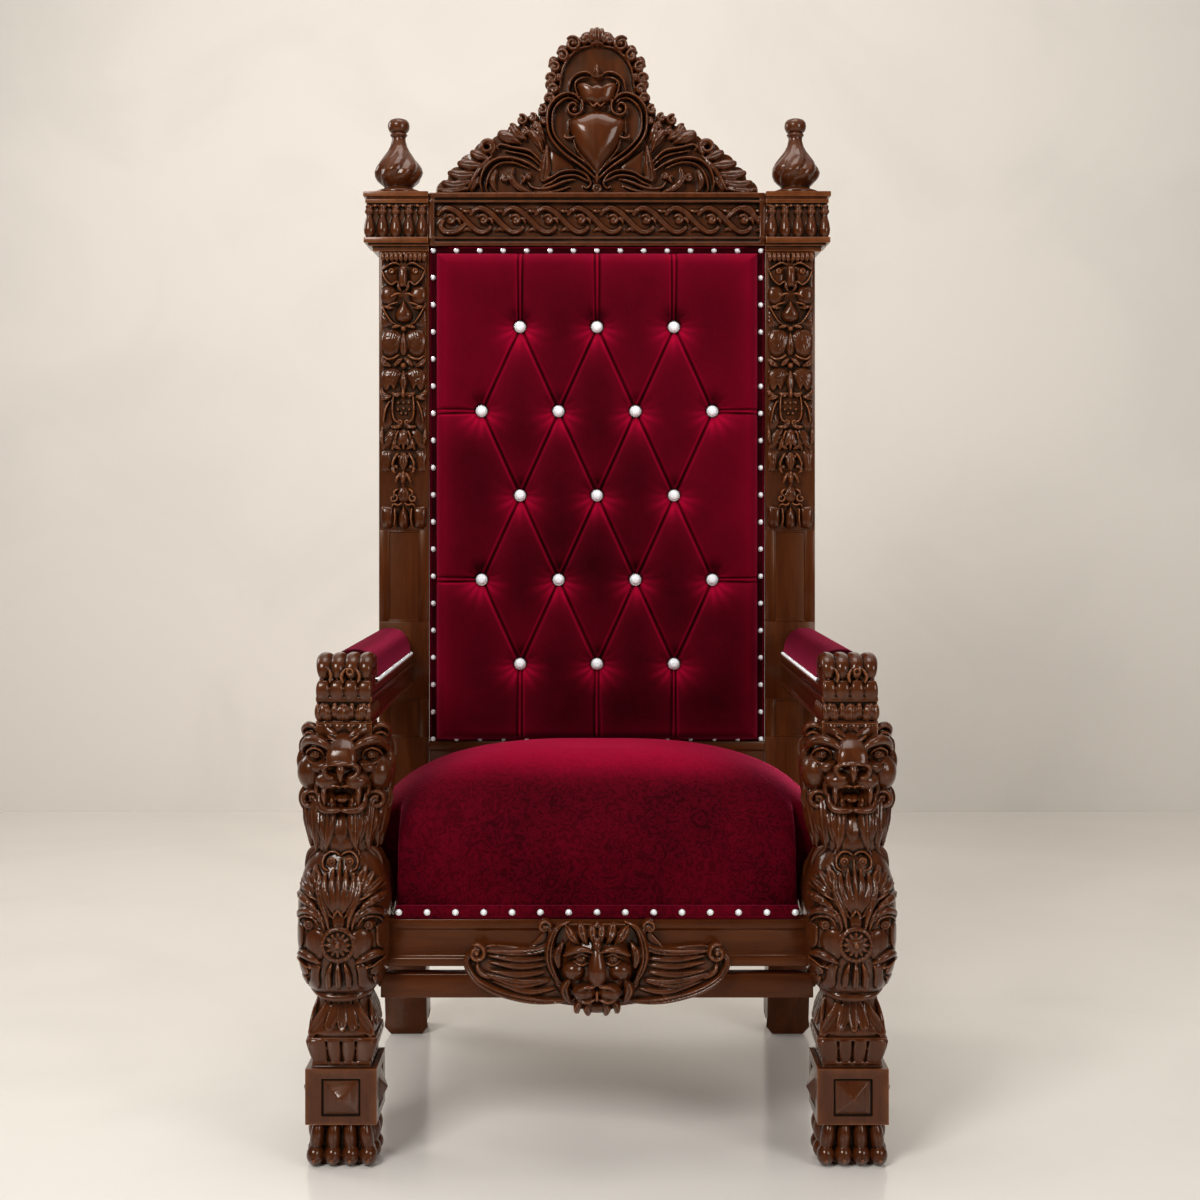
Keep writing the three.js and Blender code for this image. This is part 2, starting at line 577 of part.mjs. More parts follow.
function backPad() {
  const { halfWidth, low, high, border } = BACK_PAD;
  const [columns, rows, back] = [18, 12, 290];
  const halfX = halfWidth - border;
  const board = box([-halfWidth, halfWidth], [268, 304], [low, high]);
  const cushion = new THREE.BoxGeometry(2, 20, 2, columns, 1, rows).translate(0, back - 10, 0);
  const position = cushion.getAttribute("position");
  const clamp = THREE.MathUtils.clamp;
  for (let n = 0; n < position.count; n++) {
    const i = Math.round((position.getX(n) * columns) / 2);
    const j = Math.round((position.getZ(n) * rows) / 2);
    const edge = Math.abs(i) === columns / 2 || Math.abs(j) === rows / 2;
    const z = clamp(TUFT.middleZ + j * TUFT.upStep, low + border, high - border);
    const y = position.getY(n) === back ? back : edge ? TUFT.edge : tuftDepth(i, j);
    position.setXYZ(n, clamp((i * TUFT.acrossStep) / 2, -halfX, halfX), y, z);
  }
  const corners = cushion.index.array;
  for (let n = 0; n < corners.length; n += 6) turnDiagonal(corners.subarray(n, n + 6), position);
  return join(board, cushion);
}

// Splits a quad of the cushion along its fold: the diagonal that joins its two deepest corners.
function turnDiagonal(quad, position) {
  const [a, b, d, , c] = quad;
  const depth = (...points) => Math.max(...points.map((point) => position.getY(point)));
  if (depth(a, c) > depth(b, d)) quad.set([a, b, c, a, c, d]);
}

// Places of the tufting buttons, [x, z]: rows of three and four in turn.
function buttonPlaces() {
  return [2, 1, 0, -1, -2].flatMap((row) => {
    const count = row % 2 === 0 ? 3 : 4;
    const z = TUFT.middleZ + row * 2 * TUFT.upStep;
    return Array.from({ length: count }, (_, i) => [(i - (count - 1) / 2) * 2 * TUFT.acrossStep, z]);
  });
}

// A faceted button with a conical back that fits its dimple, about x = 0 and z = 0.
function button() {
  const dome = turned([[0, 0], [10.5, 6.5], [0, 12]], 8).rotateX(Math.PI / 2);
  return dome.translate(0, TUFT.dimple - GAP, 0);
}

// ---------------------------------------------------------------- seat

function frontRail(tier) {
  const [face, back] = FRONT_RAILS[tier];
  const [low, high] = BANDS[tier];
  const sunk = [[face, high - 13], [face + 4, high - 17], [face + 4, low + 15], [face, low + 11]];
  const outline = [[face, low], [back, low], [back, high], [face, high], ...(tier === "seat" ? sunk : [])];
  return lengthways(outline, [-RAIL_REACH, RAIL_REACH]);
}

// A side rail about x = 0, with a sunk panel on its outer face.
function sideRail(side, tier) {
  const [low, high] = BANDS[tier];
  const rail = box([-HALF_RAIL, HALF_RAIL], [SIDE_FRONT, BACK_Y + TENON], [low, high]);
  if (tier === "lower") return rail;
  return cut(rail, box([side * 12, side * 20], [-170, 215], [low + 16, high - 18]));
}

function rearRail(tier) {
  const half = STILE_IN + TENON;
  return box([-half, half], REAR_RAILS, BANDS[tier]);
}

// The domed seat: rounded rectangular sections that close towards the crown, notched round the front posts.
function seatPad() {
  const [halfX, front, back] = [374, -303, BACK_Y - GAP];
  const middle = (front + back) / 2;
  const shares = [0, 0.22, 0.45, 0.66, 0.82, 0.93, 0.99];
  const rings = shares.map((share) => {
    const reach = (1 - share ** 3) ** (1 / 3);
    const halfY = ((back - front) / 2) * reach;
    const z = SEAT_Z + GAP + (SEAT_CROWN - SEAT_Z - GAP) * share;
    return { z, halfX: halfX * reach, front: middle - halfY, back: middle + halfY };
  });
  const notch = (side) => box([side * 290, side * 500], [-400, -212], [300, 700]);
  return cut(stack(rings, { sides: 20, square: 5 }), bothSides(notch));
}

// The lion mask with its two wings, applied over the front rails.
function apronMask() {
  const back = FRONT_RAILS.seat[0] - GAP;
  const on = (x, z, lift = 5) => [x, back - lift, z];
  const edge = [
    [60, 226], [112, 236], [152, 256], [184, 284], [182, 308], [150, 312], [96, 306], [78, 330], [40, 340],
  ];
  const outline = [...edge, ...edge.map(([x, z]) => [-x, z]).reverse()];
  const wing = (side) => {
    const trace = (points) => points.map(([x, z, lift]) => on(side * x, z, lift));
    return [
      strand(trace([[34, 238], [102, 238], [150, 252], [186, 280], [178, 306]]), 7, 13, { steps: 7 }),
      ball(on(side * 174, 303), [14, 14, 13], 6),
      strand(trace([[74, 344], [66, 318], [90, 304], [164, 306]]), 6.5, 13, { steps: 6 }),
      ball(on(side * 76, 341), [10, 13, 10], 6),
      strand(trace([[74, 290], [112, 290], [156, 292]]), 7, 10),
      strand(trace([[62, 262], [112, 266], [156, 280]]), 11, 10),
      strand(trace([[34, 344], [62, 330], [68, 294], [48, 254]]), 8, 15, { steps: 5 }), // ribbon by the face
    ];
  };
  const features = (side) => [
    strand([on(side * 6, 306, 36), on(side * 24, 315, 34), on(side * 50, 306, 18)], 8, 11), // brow
    ball(on(side * 23, 298, 30), [10, 9, 6], 6), // eye
    ball(on(side * 33, 281, 22), [18, 17, 14], 6), // cheek
    ball(on(side * 19, 252, 30), [18, 17, 12]), // lip
    strand([on(side * 2, 332, 12), on(side * 24, 340, 8), on(side * 42, 330, 4)], 11, 14), // forelock
    strand([on(side * 42, 268, 8), on(side * 44, 244, 8), on(side * 24, 220, 8)], 10, 13), // whiskers
  ];
  const face = [
    ball(on(0, 286, 4), [53, 34, 52], 10, 6),
    strand([on(0, 324, 32), on(0, 298, 38), on(0, 258, 42)], (t) => 9 + 6 * t, 12),
    ball(on(0, 229, 10), [30, 22, 14], 6),
  ];
  const behind = box([-300, 300], [back, back + 80], [150, 450]);
  return cut(join(plate(outline, [back - 7, back]), bothSides(wing), bothSides(features), face), behind);
}

// ---------------------------------------------------------------- the chair

const finishes = {
  wood: new THREE.MeshStandardMaterial({ color: 0x4a2412, roughness: 0.32, metalness: 0 }),
  velvet: new THREE.MeshStandardMaterial({ color: 0x6e0a20, roughness: 0.85, metalness: 0 }),
  crystal: new THREE.MeshStandardMaterial({ color: 0xe9ebee, roughness: 0.08, metalness: 0 }),
};

const chair = new THREE.Group();

// A named piece of the chair, made about its own origin and set at its place.
function add(name, shape, finish, [x, y, z] = [0, 0, 0]) {
  const { numProp, vertProperties, triVerts } = solid(shape).getMesh();
  const geometry = new THREE.BufferGeometry();
  const points = new THREE.InterleavedBuffer(vertProperties, numProp);
  geometry.setAttribute("position", new THREE.InterleavedBufferAttribute(points, 3, 0));
  geometry.setIndex(new THREE.BufferAttribute(triVerts, 1));
  const faceted = geometry.toNonIndexed();
  faceted.computeVertexNormals();
  const mesh = new THREE.Mesh(faceted, finish);
  mesh.name = name;
  mesh.position.set(x, y, z);
  chair.add(mesh);
}

for (const [word, side] of [["left", -1], ["right", 1]]) {
  const overPost = [side * POST_X, 0, 0];
  add(`front_leg_${word}`, frontPost(side), finishes.wood, overPost);
  add(`arm_${word}`, arm(), finishes.wood, overPost);
  add(`arm_pad_${word}`, armPad(), finishes.velvet, overPost);
  add(`seat_rail_${word}`, sideRail(side, "seat"), finishes.wood, overPost);
  add(`lower_rail_${word}`, sideRail(side, "lower"), finishes.wood, overPost);
  add(`stile_${word}`, stile(side), finishes.wood, [side * STILE.middle, 0, 0]);
  add(`capital_${word}`, capital(side), finishes.wood);
  add(`finial_${word}`, finial(), finishes.wood, [side * FINIAL_X, FINIAL_Y, 0]);
}
add("top_rail", topRail(), finishes.wood);
add("crest", crest(), finishes.wood);
add("back_lower_rail", backLowerRail(), finishes.wood);
add("back_panel", backPanel(), finishes.wood);
add("back_pad", backPad(), finishes.velvet);
buttonPlaces().forEach(([x, z], i) => {
  add(`button_${String(i + 1).padStart(2, "0")}`, button(), finishes.crystal, [x, 0, z]);
});
add("seat_rail_front", frontRail("seat"), finishes.wood);
add("lower_rail_front", frontRail("lower"), finishes.wood);
add("seat_rail_back", rearRail("seat"), finishes.wood);
add("lower_rail_back", rearRail("lower"), finishes.wood);
add("seat_pad", seatPad(), finishes.velvet);
add("apron_mask", apronMask(), finishes.wood);

export default chair;
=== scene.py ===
"""A carved lion throne: fine carving, tufted velvet and crystal studs fitted round the chair's solids."""

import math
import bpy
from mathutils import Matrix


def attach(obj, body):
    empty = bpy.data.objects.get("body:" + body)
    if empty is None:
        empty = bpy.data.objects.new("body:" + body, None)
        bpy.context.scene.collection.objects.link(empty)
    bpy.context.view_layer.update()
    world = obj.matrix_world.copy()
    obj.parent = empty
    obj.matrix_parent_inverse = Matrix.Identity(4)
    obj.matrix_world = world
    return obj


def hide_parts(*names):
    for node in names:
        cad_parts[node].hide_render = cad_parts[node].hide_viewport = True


bl_info = {
    "name": "Carved Lion Throne",
    "version": (1, 0, 0),
    "blender": (4, 5, 0),
    "location": "3D View > Sidebar > Throne",
    "description": "Dresses the throne's solids in fine carving, tufted velvet and crystal studs",
    "category": "Add Mesh",
}

import bmesh
import bpy
import numpy as np
from mathutils import Vector

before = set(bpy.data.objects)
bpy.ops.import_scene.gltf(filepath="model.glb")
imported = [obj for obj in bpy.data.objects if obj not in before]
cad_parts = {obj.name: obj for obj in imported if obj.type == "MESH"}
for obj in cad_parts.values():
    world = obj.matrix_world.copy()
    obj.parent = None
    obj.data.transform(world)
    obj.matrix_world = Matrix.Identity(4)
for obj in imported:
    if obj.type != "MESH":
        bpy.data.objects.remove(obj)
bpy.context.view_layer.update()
SIDES = {"left": -1, "right": 1}

# Driving places, in millimetres in the chair's own frame.
POST_X = 364.0
POST_Y = -284.0
FRONT_Y = -335.0
BACK_Y = 265.0
STILE_X = 340.0
ARM_TOP = 680.0
RAIL_TOP = 1493.0


# ------------------------------------------------------------------ paths and shells
# A shell is a closed grid of points and its quads: (points, quads), in millimetres.


def smooth_path(points, ways):
    """Places on a smooth line through the points, at these shares of its length."""
    p = np.asarray(points, float)
    ends = np.vstack([2 * p[0] - p[1], p, 2 * p[-1] - p[-2]])
    t = np.linspace(0, 1, 10, endpoint=False)[:, None]
    spans = []
    for a, b, c, d in zip(ends, ends[1:], ends[2:], ends[3:]):
        spans.append(0.5 * (2 * b + (c - a) * t + (2 * a - 5 * b + 4 * c - d) * t**2 + (3 * b - a - 3 * c + d) * t**3))
    line = np.vstack([*spans, p[-1:]])
    run = np.concatenate([[0], np.cumsum(np.linalg.norm(np.diff(line, axis=0), axis=1))])
    return np.column_stack([np.interp(ways * run[-1], run, line[:, k]) for k in range(3)]), run[-1]


def spread(size, ways):
    """A size that is one number, or a few numbers spaced evenly along the way."""
    sizes = np.atleast_1d(np.asarray(size, float))
    return np.interp(ways, np.linspace(0, 1, len(sizes)), sizes)


def grid_quads(rows, columns):
    """Quads of a grid whose columns close on themselves."""
    i, j = np.meshgrid(np.arange(rows - 1), np.arange(columns), indexing="ij")
    k = (j + 1) % columns
    return np.stack([i * columns + j, i * columns + k, (i + 1) * columns + k, (i + 1) * columns + j],
                    -1).reshape(-1, 4)


def unit(vectors):
    return vectors / np.maximum(np.linalg.norm(vectors, axis=-1, keepdims=True), 1e-9)


def strand(points, width, depth, face=(0, -1, 0), blunt=0.45, boxy=2.0, sides=20, lobes=0, notch=0.25, slant=0.7,
           veins=0.3, reeds=0, reed=0.3, rib=0.0, cup=0.0):
    """A closed tapering length that faces one way. Width and depth are half sizes. Lobes scallop its edges and
    send veins from the rib, reeds run along it, and cup hollows it inside a raised rim."""
    _, length = smooth_path(points, np.linspace(0, 1, 3))
    rings = int(np.clip(length / 1.9, 9, 110))
    turn = np.linspace(0, math.pi, rings)
    way = (1 - np.cos(turn)) / 2
    path, _ = smooth_path(points, way)
    tangent = unit(np.gradient(path, axis=0))
    across = unit(np.cross(np.asarray(face, float), tangent))
    out = np.cross(tangent, across)
    around = np.linspace(0, 2 * math.pi, sides, endpoint=False)
    c, s = np.cos(around)[None, :], np.sin(around)[None, :]
    u = np.sign(c) * np.abs(c) ** (2 / boxy)
    v = np.sign(s) * np.abs(s) ** (2 / boxy)
    t = way[:, None]
    end = (4 * t * (1 - t)).clip(0) ** blunt
    wide = spread(width, way)[:, None] * end * np.ones_like(u)
    high = spread(depth, way)[:, None] * end * np.ones_like(u)
    front = (s > 0) * 1.0
    if lobes:
        edge = np.abs(np.cos(math.pi * (lobes * t - slant)))
        wide = wide * (1 - notch + notch * edge)
        vein = np.abs(np.cos(math.pi * (lobes * t - slant * np.abs(u))))
        high = high * (1 - front * veins * (1 - vein))
    if reeds:
        high = high * (1 - front * reed * (1 - np.abs(np.sin(math.pi * reeds * (u + 1) / 2))))
    if rib:
        high = high * (1 - front * rib * np.exp(-((u / 0.16) ** 2)))
    if cup:
        inner = 1 - np.clip((np.abs(u) - 0.42) / 0.35, 0, 1) ** 2
        along = np.clip((1 - t) / 0.12, 0, 1) * np.clip(t / 0.06, 0, 1)
        high = high * (1 - front * cup * inner * along)
    p = path[:, None] + across[:, None] * (u * wide)[..., None] + out[:, None] * (v * high)[..., None]
    return p.reshape(-1, 3), grid_quads(rings, sides)


def ball(centre, radii, rows=13, columns=18):
    """An ellipsoid with its poles at the front and the back."""
    turn = np.linspace(0, math.pi, rows)[:, None]
    around = np.linspace(0, 2 * math.pi, columns, endpoint=False)[None, :]
    p = np.stack([np.sin(turn) * np.cos(around), -np.cos(turn) * np.ones_like(around),
                 np.sin(turn) * np.sin(around)], -1)
    return p.reshape(-1, 3) * radii + centre, grid_quads(rows, columns)


def ring_of(centre, radius, thick, rows=40, columns=12, proud=1.0):
    """A torus that faces the front."""
    a = np.linspace(0, 2 * math.pi, rows)[:, None]
    b = np.linspace(0, 2 * math.pi, columns, endpoint=False)[None, :]
    r = radius + thick * np.cos(b)
    p = np.stack([r * np.cos(a), -thick * proud * np.sin(b) * np.ones_like(a), r * np.sin(a)], -1)
    return p.reshape(-1, 3) + centre, grid_quads(rows, columns)


def stack(rings, square=2.6, sides=96, flute=None, steps=4.0, bulges=True):
    """Rounded rectangular sections, one above another: each ring is z, half width, front, back."""
    rings = np.asarray(rings, float)
    if bulges:
        z = np.arange(rings[0, 0], rings[-1, 0], steps)
        z = np.append(z, rings[-1, 0])
        dense = smooth_path_2d(rings, z)
    else:
        z = np.unique(np.concatenate([rings[:, 0], np.arange(rings[0, 0], rings[-1, 0], steps)]))
        dense = np.column_stack([z] + [np.interp(z, rings[:, 0], rings[:, k]) for k in (1, 2, 3)])
    around = np.linspace(0, 2 * math.pi, sides, endpoint=False)
    c, s = np.cos(around), np.sin(around)
    u, v = np.sign(c) * np.abs(c) ** (2 / square), np.sign(s) * np.abs(s) ** (2 / square)
    p = []
    for z, half, front, back in dense:
        swell = 1.0 if flute is None else flute(around, z)
        middle, deep = (front + back) / 2, (back - front) / 2
        p.append(np.column_stack([half * u * swell, middle + deep * v * swell, np.full(sides, z)]))
    low, high = np.tile(p[0].mean(0), (sides, 1)), np.tile(p[-1].mean(0), (sides, 1))
    return np.vstack([low, *p, high]), grid_quads(len(p) + 2, sides)


def smooth_path_2d(rings, z):
    """Ring sizes at these heights, on smooth curves through the given rings."""
    slope = np.gradient(rings[:, 1:], rings[:, 0], axis=0)
    i = np.clip(np.searchsorted(rings[:, 0], z, side="right") - 1, 0, len(rings) - 2)
    step = (rings[i + 1, 0] - rings[i, 0])[:, None]
    t = ((z - rings[i, 0])[:, None]) / step
    a, b = rings[i, 1:], rings[i + 1, 1:]
    ma, mb = slope[i] * step, slope[i + 1] * step
    value = (2 * t**3 - 3 * t**2 + 1) * a + (t**3 - 2 * t**2 + t) * ma + (3 * t**2 - 2 * t**3) * b + (t**3 - t**2) * mb
    return np.column_stack([z, value])


def turned(profile, sides=48, flute=None, steps=2.0, centre=(0, 0)):
    """A solid turned about the Z axis: profile points are radius, z from the bottom to the top."""
    profile = np.asarray(profile, float)
    rings = np.column_stack([profile[:, 1], profile[:, 0], -profile[:, 0], profile[:, 0]])
    points, quads = stack(rings, 2.0, sides, flute, steps, bulges=False)
    return points + [centre[0], centre[1], 0], quads


def block(x, y, z):
    """A box from its two limits on each axis."""
    corners = np.array([(a, b, c) for a in x for b in y for c in z], float)
    quads = [(0, 1, 3, 2), (4, 6, 7, 5), (0, 4, 5, 1), (2, 3, 7, 6), (0, 2, 6, 4), (1, 5, 7, 3)]
    return corners, np.array(quads)


def pyramid(x, z, y, rise):
    """A four-sided stud on the front: x and z are its limits, y its foot, rise how far it stands out."""
    (x0, x1), (z0, z1) = x, z
    tip = ((x0 + x1) / 2, y - rise, (z0 + z1) / 2)
    foot = [(x0, y, z0), (x1, y, z0), (x1, y, z1), (x0, y, z1)]
    inner = [(a, y + 6, b) for a, _, b in foot]
    points = np.array([*inner, *foot, tip, tip, tip, tip], float)
    quads = [(0, 1, 5, 4), (1, 2, 6, 5), (2, 3, 7, 6), (3, 0, 4, 7), (4, 5, 9, 8), (5, 6, 10, 9), (6, 7, 11, 10),
             (7, 4, 8, 11), (3, 2, 1, 0)]
    return points, np.array(quads)


def plate(outline, y):
    """A flat board seen from the front: outline is x, z points round its edge."""
    edge = np.asarray(outline, float)
    n = len(edge)
    rows = [np.column_stack([edge[:, 0], np.full(n, v), edge[:, 1]]) for v in (y[0], y[1])]
    return np.vstack(rows), grid_quads(2, n), n


def moved(shell, by):
    return (shell[0] + np.asarray(by, float), shell[1])


def mirrored(shell):
    return (shell[0] * [-1, 1, 1], shell[1][:, ::-1])


def both(shells):
    """The shells and their mirror images in x = 0."""
    shells = list(shells)
    return shells + [mirrored(s) for s in shells]


def quarter(shell, turns, centre_y=POST_Y):
    """A shell made for the front, turned about the upright axis through the post."""
    a = turns * math.pi / 2
    x, y = shell[0][:, 0], shell[0][:, 1] - centre_y
    p = np.column_stack([x * math.cos(a) - y * math.sin(a), x * math.sin(a) + y * math.cos(a) + centre_y,
                        shell[0][:, 2]])
    return p, shell[1]


def curl(centre, radius, start, turns, inner=0.3, count=14):
    """Points x, z of a spiral that runs inwards from an angle in degrees; negative turns run clockwise."""
    share = np.linspace(0, 1, count)
    angle = math.radians(start) + 2 * math.pi * turns * share
    r = radius * (1 - (1 - inner) * share)
    return [(centre[0] + a, centre[1] + b) for a, b in zip(r * np.cos(angle), r * np.sin(angle))]


# ------------------------------------------------------------------ meshes


def show(name, points, faces, smooth=True):
    """A mesh object from points in millimetres; faces are one array of quads or triangles."""
    mesh = bpy.data.meshes.new(name)
    faces = np.asarray(faces, np.int32)
    size = faces.shape[1]
    mesh.vertices.add(len(points))
    mesh.vertices.foreach_set("co", (np.asarray(points, np.float32) / 1000).ravel())
    mesh.loops.add(faces.size)
    mesh.loops.foreach_set("vertex_index", faces.ravel())
    mesh.polygons.add(len(faces))
    mesh.polygons.foreach_set("loop_start", np.arange(0, faces.size, size, dtype=np.int32))
    mesh.update(calc_edges=True)
    mesh.polygons.foreach_set("use_smooth", np.full(len(faces), smooth))
    piece = bpy.data.objects.new(name, mesh)
    bpy.context.scene.collection.objects.link(piece)
    return piece


def gather(shells):
    """Several shells as one set of points and quads."""
    points, quads, base = [], [], 0
    for p, q in shells:
        points.append(p)
        quads.append(q + base)
        base += len(p)
    return np.vstack(points), np.vstack(quads)


def only(piece):
    bpy.ops.object.select_all(action="DESELECT")
    piece.select_set(True)
    bpy.context.view_layer.objects.active = piece


def finish_modifier(piece, kind, **values):
    """Adds a modifier with these values and applies it."""
    only(piece)
    modifier = piece.modifiers.new(kind.title(), kind)
    for key, value in values.items():
        setattr(modifier, key, value)
    bpy.ops.object.modifier_apply(modifier=modifier.name)


REACHES = ((2, 0.0004), (10, 0.001))


def carve(name, shells, grain=1.3, soften=2, triangles=60000, shade=0.003):
    """Fuses overlapping shells into one closed carving, softens it and thins its mesh. The smaller the shade, the
    darker the painted shade in its wide hollows."""
    piece = show(name, *gather(shells))
    finish_modifier(piece, "REMESH", mode="VOXEL", voxel_size=grain / 1000)
    finish_modifier(piece, "SMOOTH", factor=0.5, iterations=soften)
    mark_hollows(piece, (*REACHES, (24, shade)))
    count = sum(len(p.vertices) - 2 for p in piece.data.polygons)
    if count > triangles:
        finish_modifier(piece, "DECIMATE", ratio=triangles / count)
        drop_doubled(piece)
    bpy.ops.object.shade_smooth_by_angle(angle=math.radians(50))
    return piece


def drop_doubled(piece):
    """Deletes the stray faces with no volume that thinning leaves: two on the same points, joined to nothing else."""
    made = bmesh.new()
    made.from_mesh(piece.data)
    twins = {}
    for face in made.faces:
        twins.setdefault(frozenset(vert.index for vert in face.verts), []).append(face)
    doomed = [face for faces in twins.values() if len(faces) > 1 for face in faces]
    bmesh.ops.delete(made, geom=doomed, context="FACES")
    made.to_mesh(piece.data)
    made.free()


def mark_hollows(piece, reaches):
    """Stores how proud or sunk each point is, from 0 in a hollow through 0.5 on the flat to 1 on an edge; the carved
    wood paints its shade and highlights from it.
    """
    mesh = piece.data
    count = len(mesh.vertices)
    co = np.zeros(count * 3)
    mesh.vertices.foreach_get("co", co)
    co = co.reshape(-1, 3)
    normal = np.zeros(count * 3)
    mesh.vertices.foreach_get("normal", normal)
    normal = normal.reshape(-1, 3)
    edges = np.zeros(len(mesh.edges) * 2, np.int64)
    mesh.edges.foreach_get("vertices", edges)
    a, b = edges.reshape(-1, 2).T
    near = np.maximum(np.bincount(a, minlength=count) + np.bincount(b, minlength=count), 1)

    def averaged(values):
        total = np.zeros_like(values)
        for k in range(values.shape[1]):
            total[:, k] = np.bincount(a, values[b, k], count) + np.bincount(b, values[a, k], count)
        return total / near[:, None]

    hollow = np.zeros(count)
    smooth = co
    done = 0
    for steps, size in reaches:
        while done < steps:
            smooth = 0.5 * smooth + 0.5 * averaged(smooth)
            done += 1
        hollow += np.tanh(((co - smooth) * normal).sum(1) / size) / len(reaches)
    hollow = 0.5 * hollow + 0.5 * averaged(hollow[:, None])[:, 0]
    attribute = mesh.attributes.new("proud", "FLOAT", "POINT")
    attribute.data.foreach_set("value", (0.5 + 0.5 * hollow).astype(np.float32))


def copy_of(piece, name, shift=(0, 0, 0), flip=False):
    """Another piece of the same carving, shifted in millimetres or mirrored in x = 0."""
    twin = piece.copy()
    twin.data = piece.data.copy()
    twin.name = twin.data.name = name
    bpy.context.scene.collection.objects.link(twin)
    co = np.zeros(len(twin.data.vertices) * 3, np.float32)
    twin.data.vertices.foreach_get("co", co)
    co = co.reshape(-1, 3)
    if flip:
        co[:, 0] *= -1
    co += np.asarray(shift, np.float32) / 1000
    twin.data.vertices.foreach_set("co", co.ravel())
    if flip:
        twin.data.flip_normals()
    twin.data.update()
    return twin


def shift_mesh(piece, by):
    co = np.zeros(len(piece.data.vertices) * 3, np.float32)
    piece.data.vertices.foreach_get("co", co)
    co = co.reshape(-1, 3) + np.asarray(by, np.float32) / 1000
    piece.data.vertices.foreach_set("co", co.ravel())
    piece.data.update()


def place(piece, finish, slot, *nodes):
    """Gives a piece its material and hides the solids that it stands for. The slot is not used."""
    piece.data.materials.clear()
    piece.data.materials.append(finish)
    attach(piece, "root")
    if nodes:
        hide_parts(*nodes)
    return piece


# ------------------------------------------------------------------ front posts, about x = 0


BODY = np.array([
    # z, half width, front, back
    [228, 34, -318, -240],
    [244, 42, -334, -232],
    [257, 53, -345, -228],
    [272, 60, -352, -224],
    [292, 64, -357, -221],
    [320, 65.5, -359.5, -220],
    [353, 66, -358, -221],
    [386, 65, -353, -223],
    [415, 59, -345, -226],
    [440, 49, -334, -230],
    [462, 33, -320, -238],
])
BODY_SQUARE = 2.7


def on_body(x, z, lift=0.0):
    """A point on the front of the carved body, lifted off it."""
    half, front, back = (np.interp(z, BODY[:, 0], BODY[:, k]) for k in (1, 2, 3))
    across = min(1.0, abs(x) / half)
    bow = (1 - across**BODY_SQUARE) ** (1 / BODY_SQUARE)
    return (x, (front + back) / 2 - bow * (back - front) / 2 - lift, z)


def over_body(points, lift=0.0):
    """x, z points laid on the body; a third number lifts a point further."""
    return [on_body(p[0], p[1], lift + (p[2] if len(p) > 2 else 0)) for p in points]


def paw():
    foot = stack([[0, 40, FRONT_Y + 14, FRONT_Y + 96], [18, 45, FRONT_Y + 14, FRONT_Y + 98],
                  [40, 41, FRONT_Y + 17, FRONT_Y + 95], [63, 40, FRONT_Y + 14, FRONT_Y + 96]], square=3.5)
    toes = []
    for x in (-38, -12.7, 12.7, 38):
        toes.append(ball((x, FRONT_Y + 12, 15.5), (12.6, 15, 15.2)))
        rib = [(x * 0.84, FRONT_Y + 20, 66), (x * 0.92, FRONT_Y + 12, 46), (x, FRONT_Y + 14, 22)]
        toes.append(strand(rib, (8.5, 9.5, 11), (12, 13, 10), blunt=0.25))
        toes.append(ball((x * 1.01, FRONT_Y - 1, 11), (3.2, 4, 3.4)))
    side = []
    for y, r in ((-296, 13), (-268, 12.5)):
        side.append(ball((38, y, 15.5), (15, 14, 15.2)))
        rib = [(34, y, 66), (40, y, 46), (40, y, 22)]
        side.append(strand(rib, r, (11, 12, 9), face=(1, 0, 0), blunt=0.25))
    heel = ball((0, -246, 20), (36, 17, 21))
    return [foot, *toes, *both(side), heel]


def panel_frame(half, low, high, hole_half, hole_low, hole_high, deep, y):
    """Four boards round a sunk panel on the front face at y."""
    sides = [block((hole_half, half), (y, y + deep), (low, high))]
    sides.append(mirrored(sides[0]))
    return [*sides, block((-hole_half - 1, hole_half + 1), (y, y + deep), (hole_high, high)),
            block((-hole_half - 1, hole_half + 1), (y, y + deep), (low, hole_low))]


def post_block():
    low, high, half, deep = 61, 141, 51, 3.2
    core = block((-half + deep, half - deep), (POST_Y - half + deep, POST_Y + half), (low, high))
    stud = pyramid((-24.5, 24.5), (76.5, 123.5), FRONT_Y + deep, 13.5)
    face = panel_frame(half, low, high, 27.5, 73.5, 126.5, 8, FRONT_Y) + [stud]
    return [core] + [quarter(s, q) for q in (0, 1, 3) for s in face]


def flare():
    low, high = 146, 181
    neck = block((-42, 42), (POST_Y - 42, POST_Y + 42), (140, low + 2))
    rings = [[low - 1, 38, POST_Y - 38, POST_Y + 38], [high, 46, POST_Y - 46, POST_Y + 46]]
    cup = stack(rings, square=14, bulges=False)
    tiles = []
    for x, half in ((-35.5, 12.5), (-11, 9.2), (11, 9.2), (35.5, 12.5)):
        path = [(x * 0.83, POST_Y - 38, low + 1), (x * 0.92, POST_Y - 43, 163), (x, POST_Y - 48.6, high + 1)]
        tiles.append(strand(path, (half * 0.84, half * 1.05), 3.6, boxy=4.5, blunt=0.1))
        foot = [(x * 0.83 - half * 0.8, POST_Y - 41.5, low + 1), (x * 0.83 + half * 0.8, POST_Y - 41.5, low + 1)]
        tiles.append(strand(foot, 1.8, 2.2, face=(0, 0, 1), blunt=0.15))
    lip = stack([[high - 1, 49.2, POST_Y - 49.2, POST_Y + 49.2], [high + 3.5, 50, POST_Y - 50, POST_Y + 50]],
                square=14,
                bulges=False)
    return [neck, cup, lip] + [quarter(t, q) for q in range(4) for t in tiles]


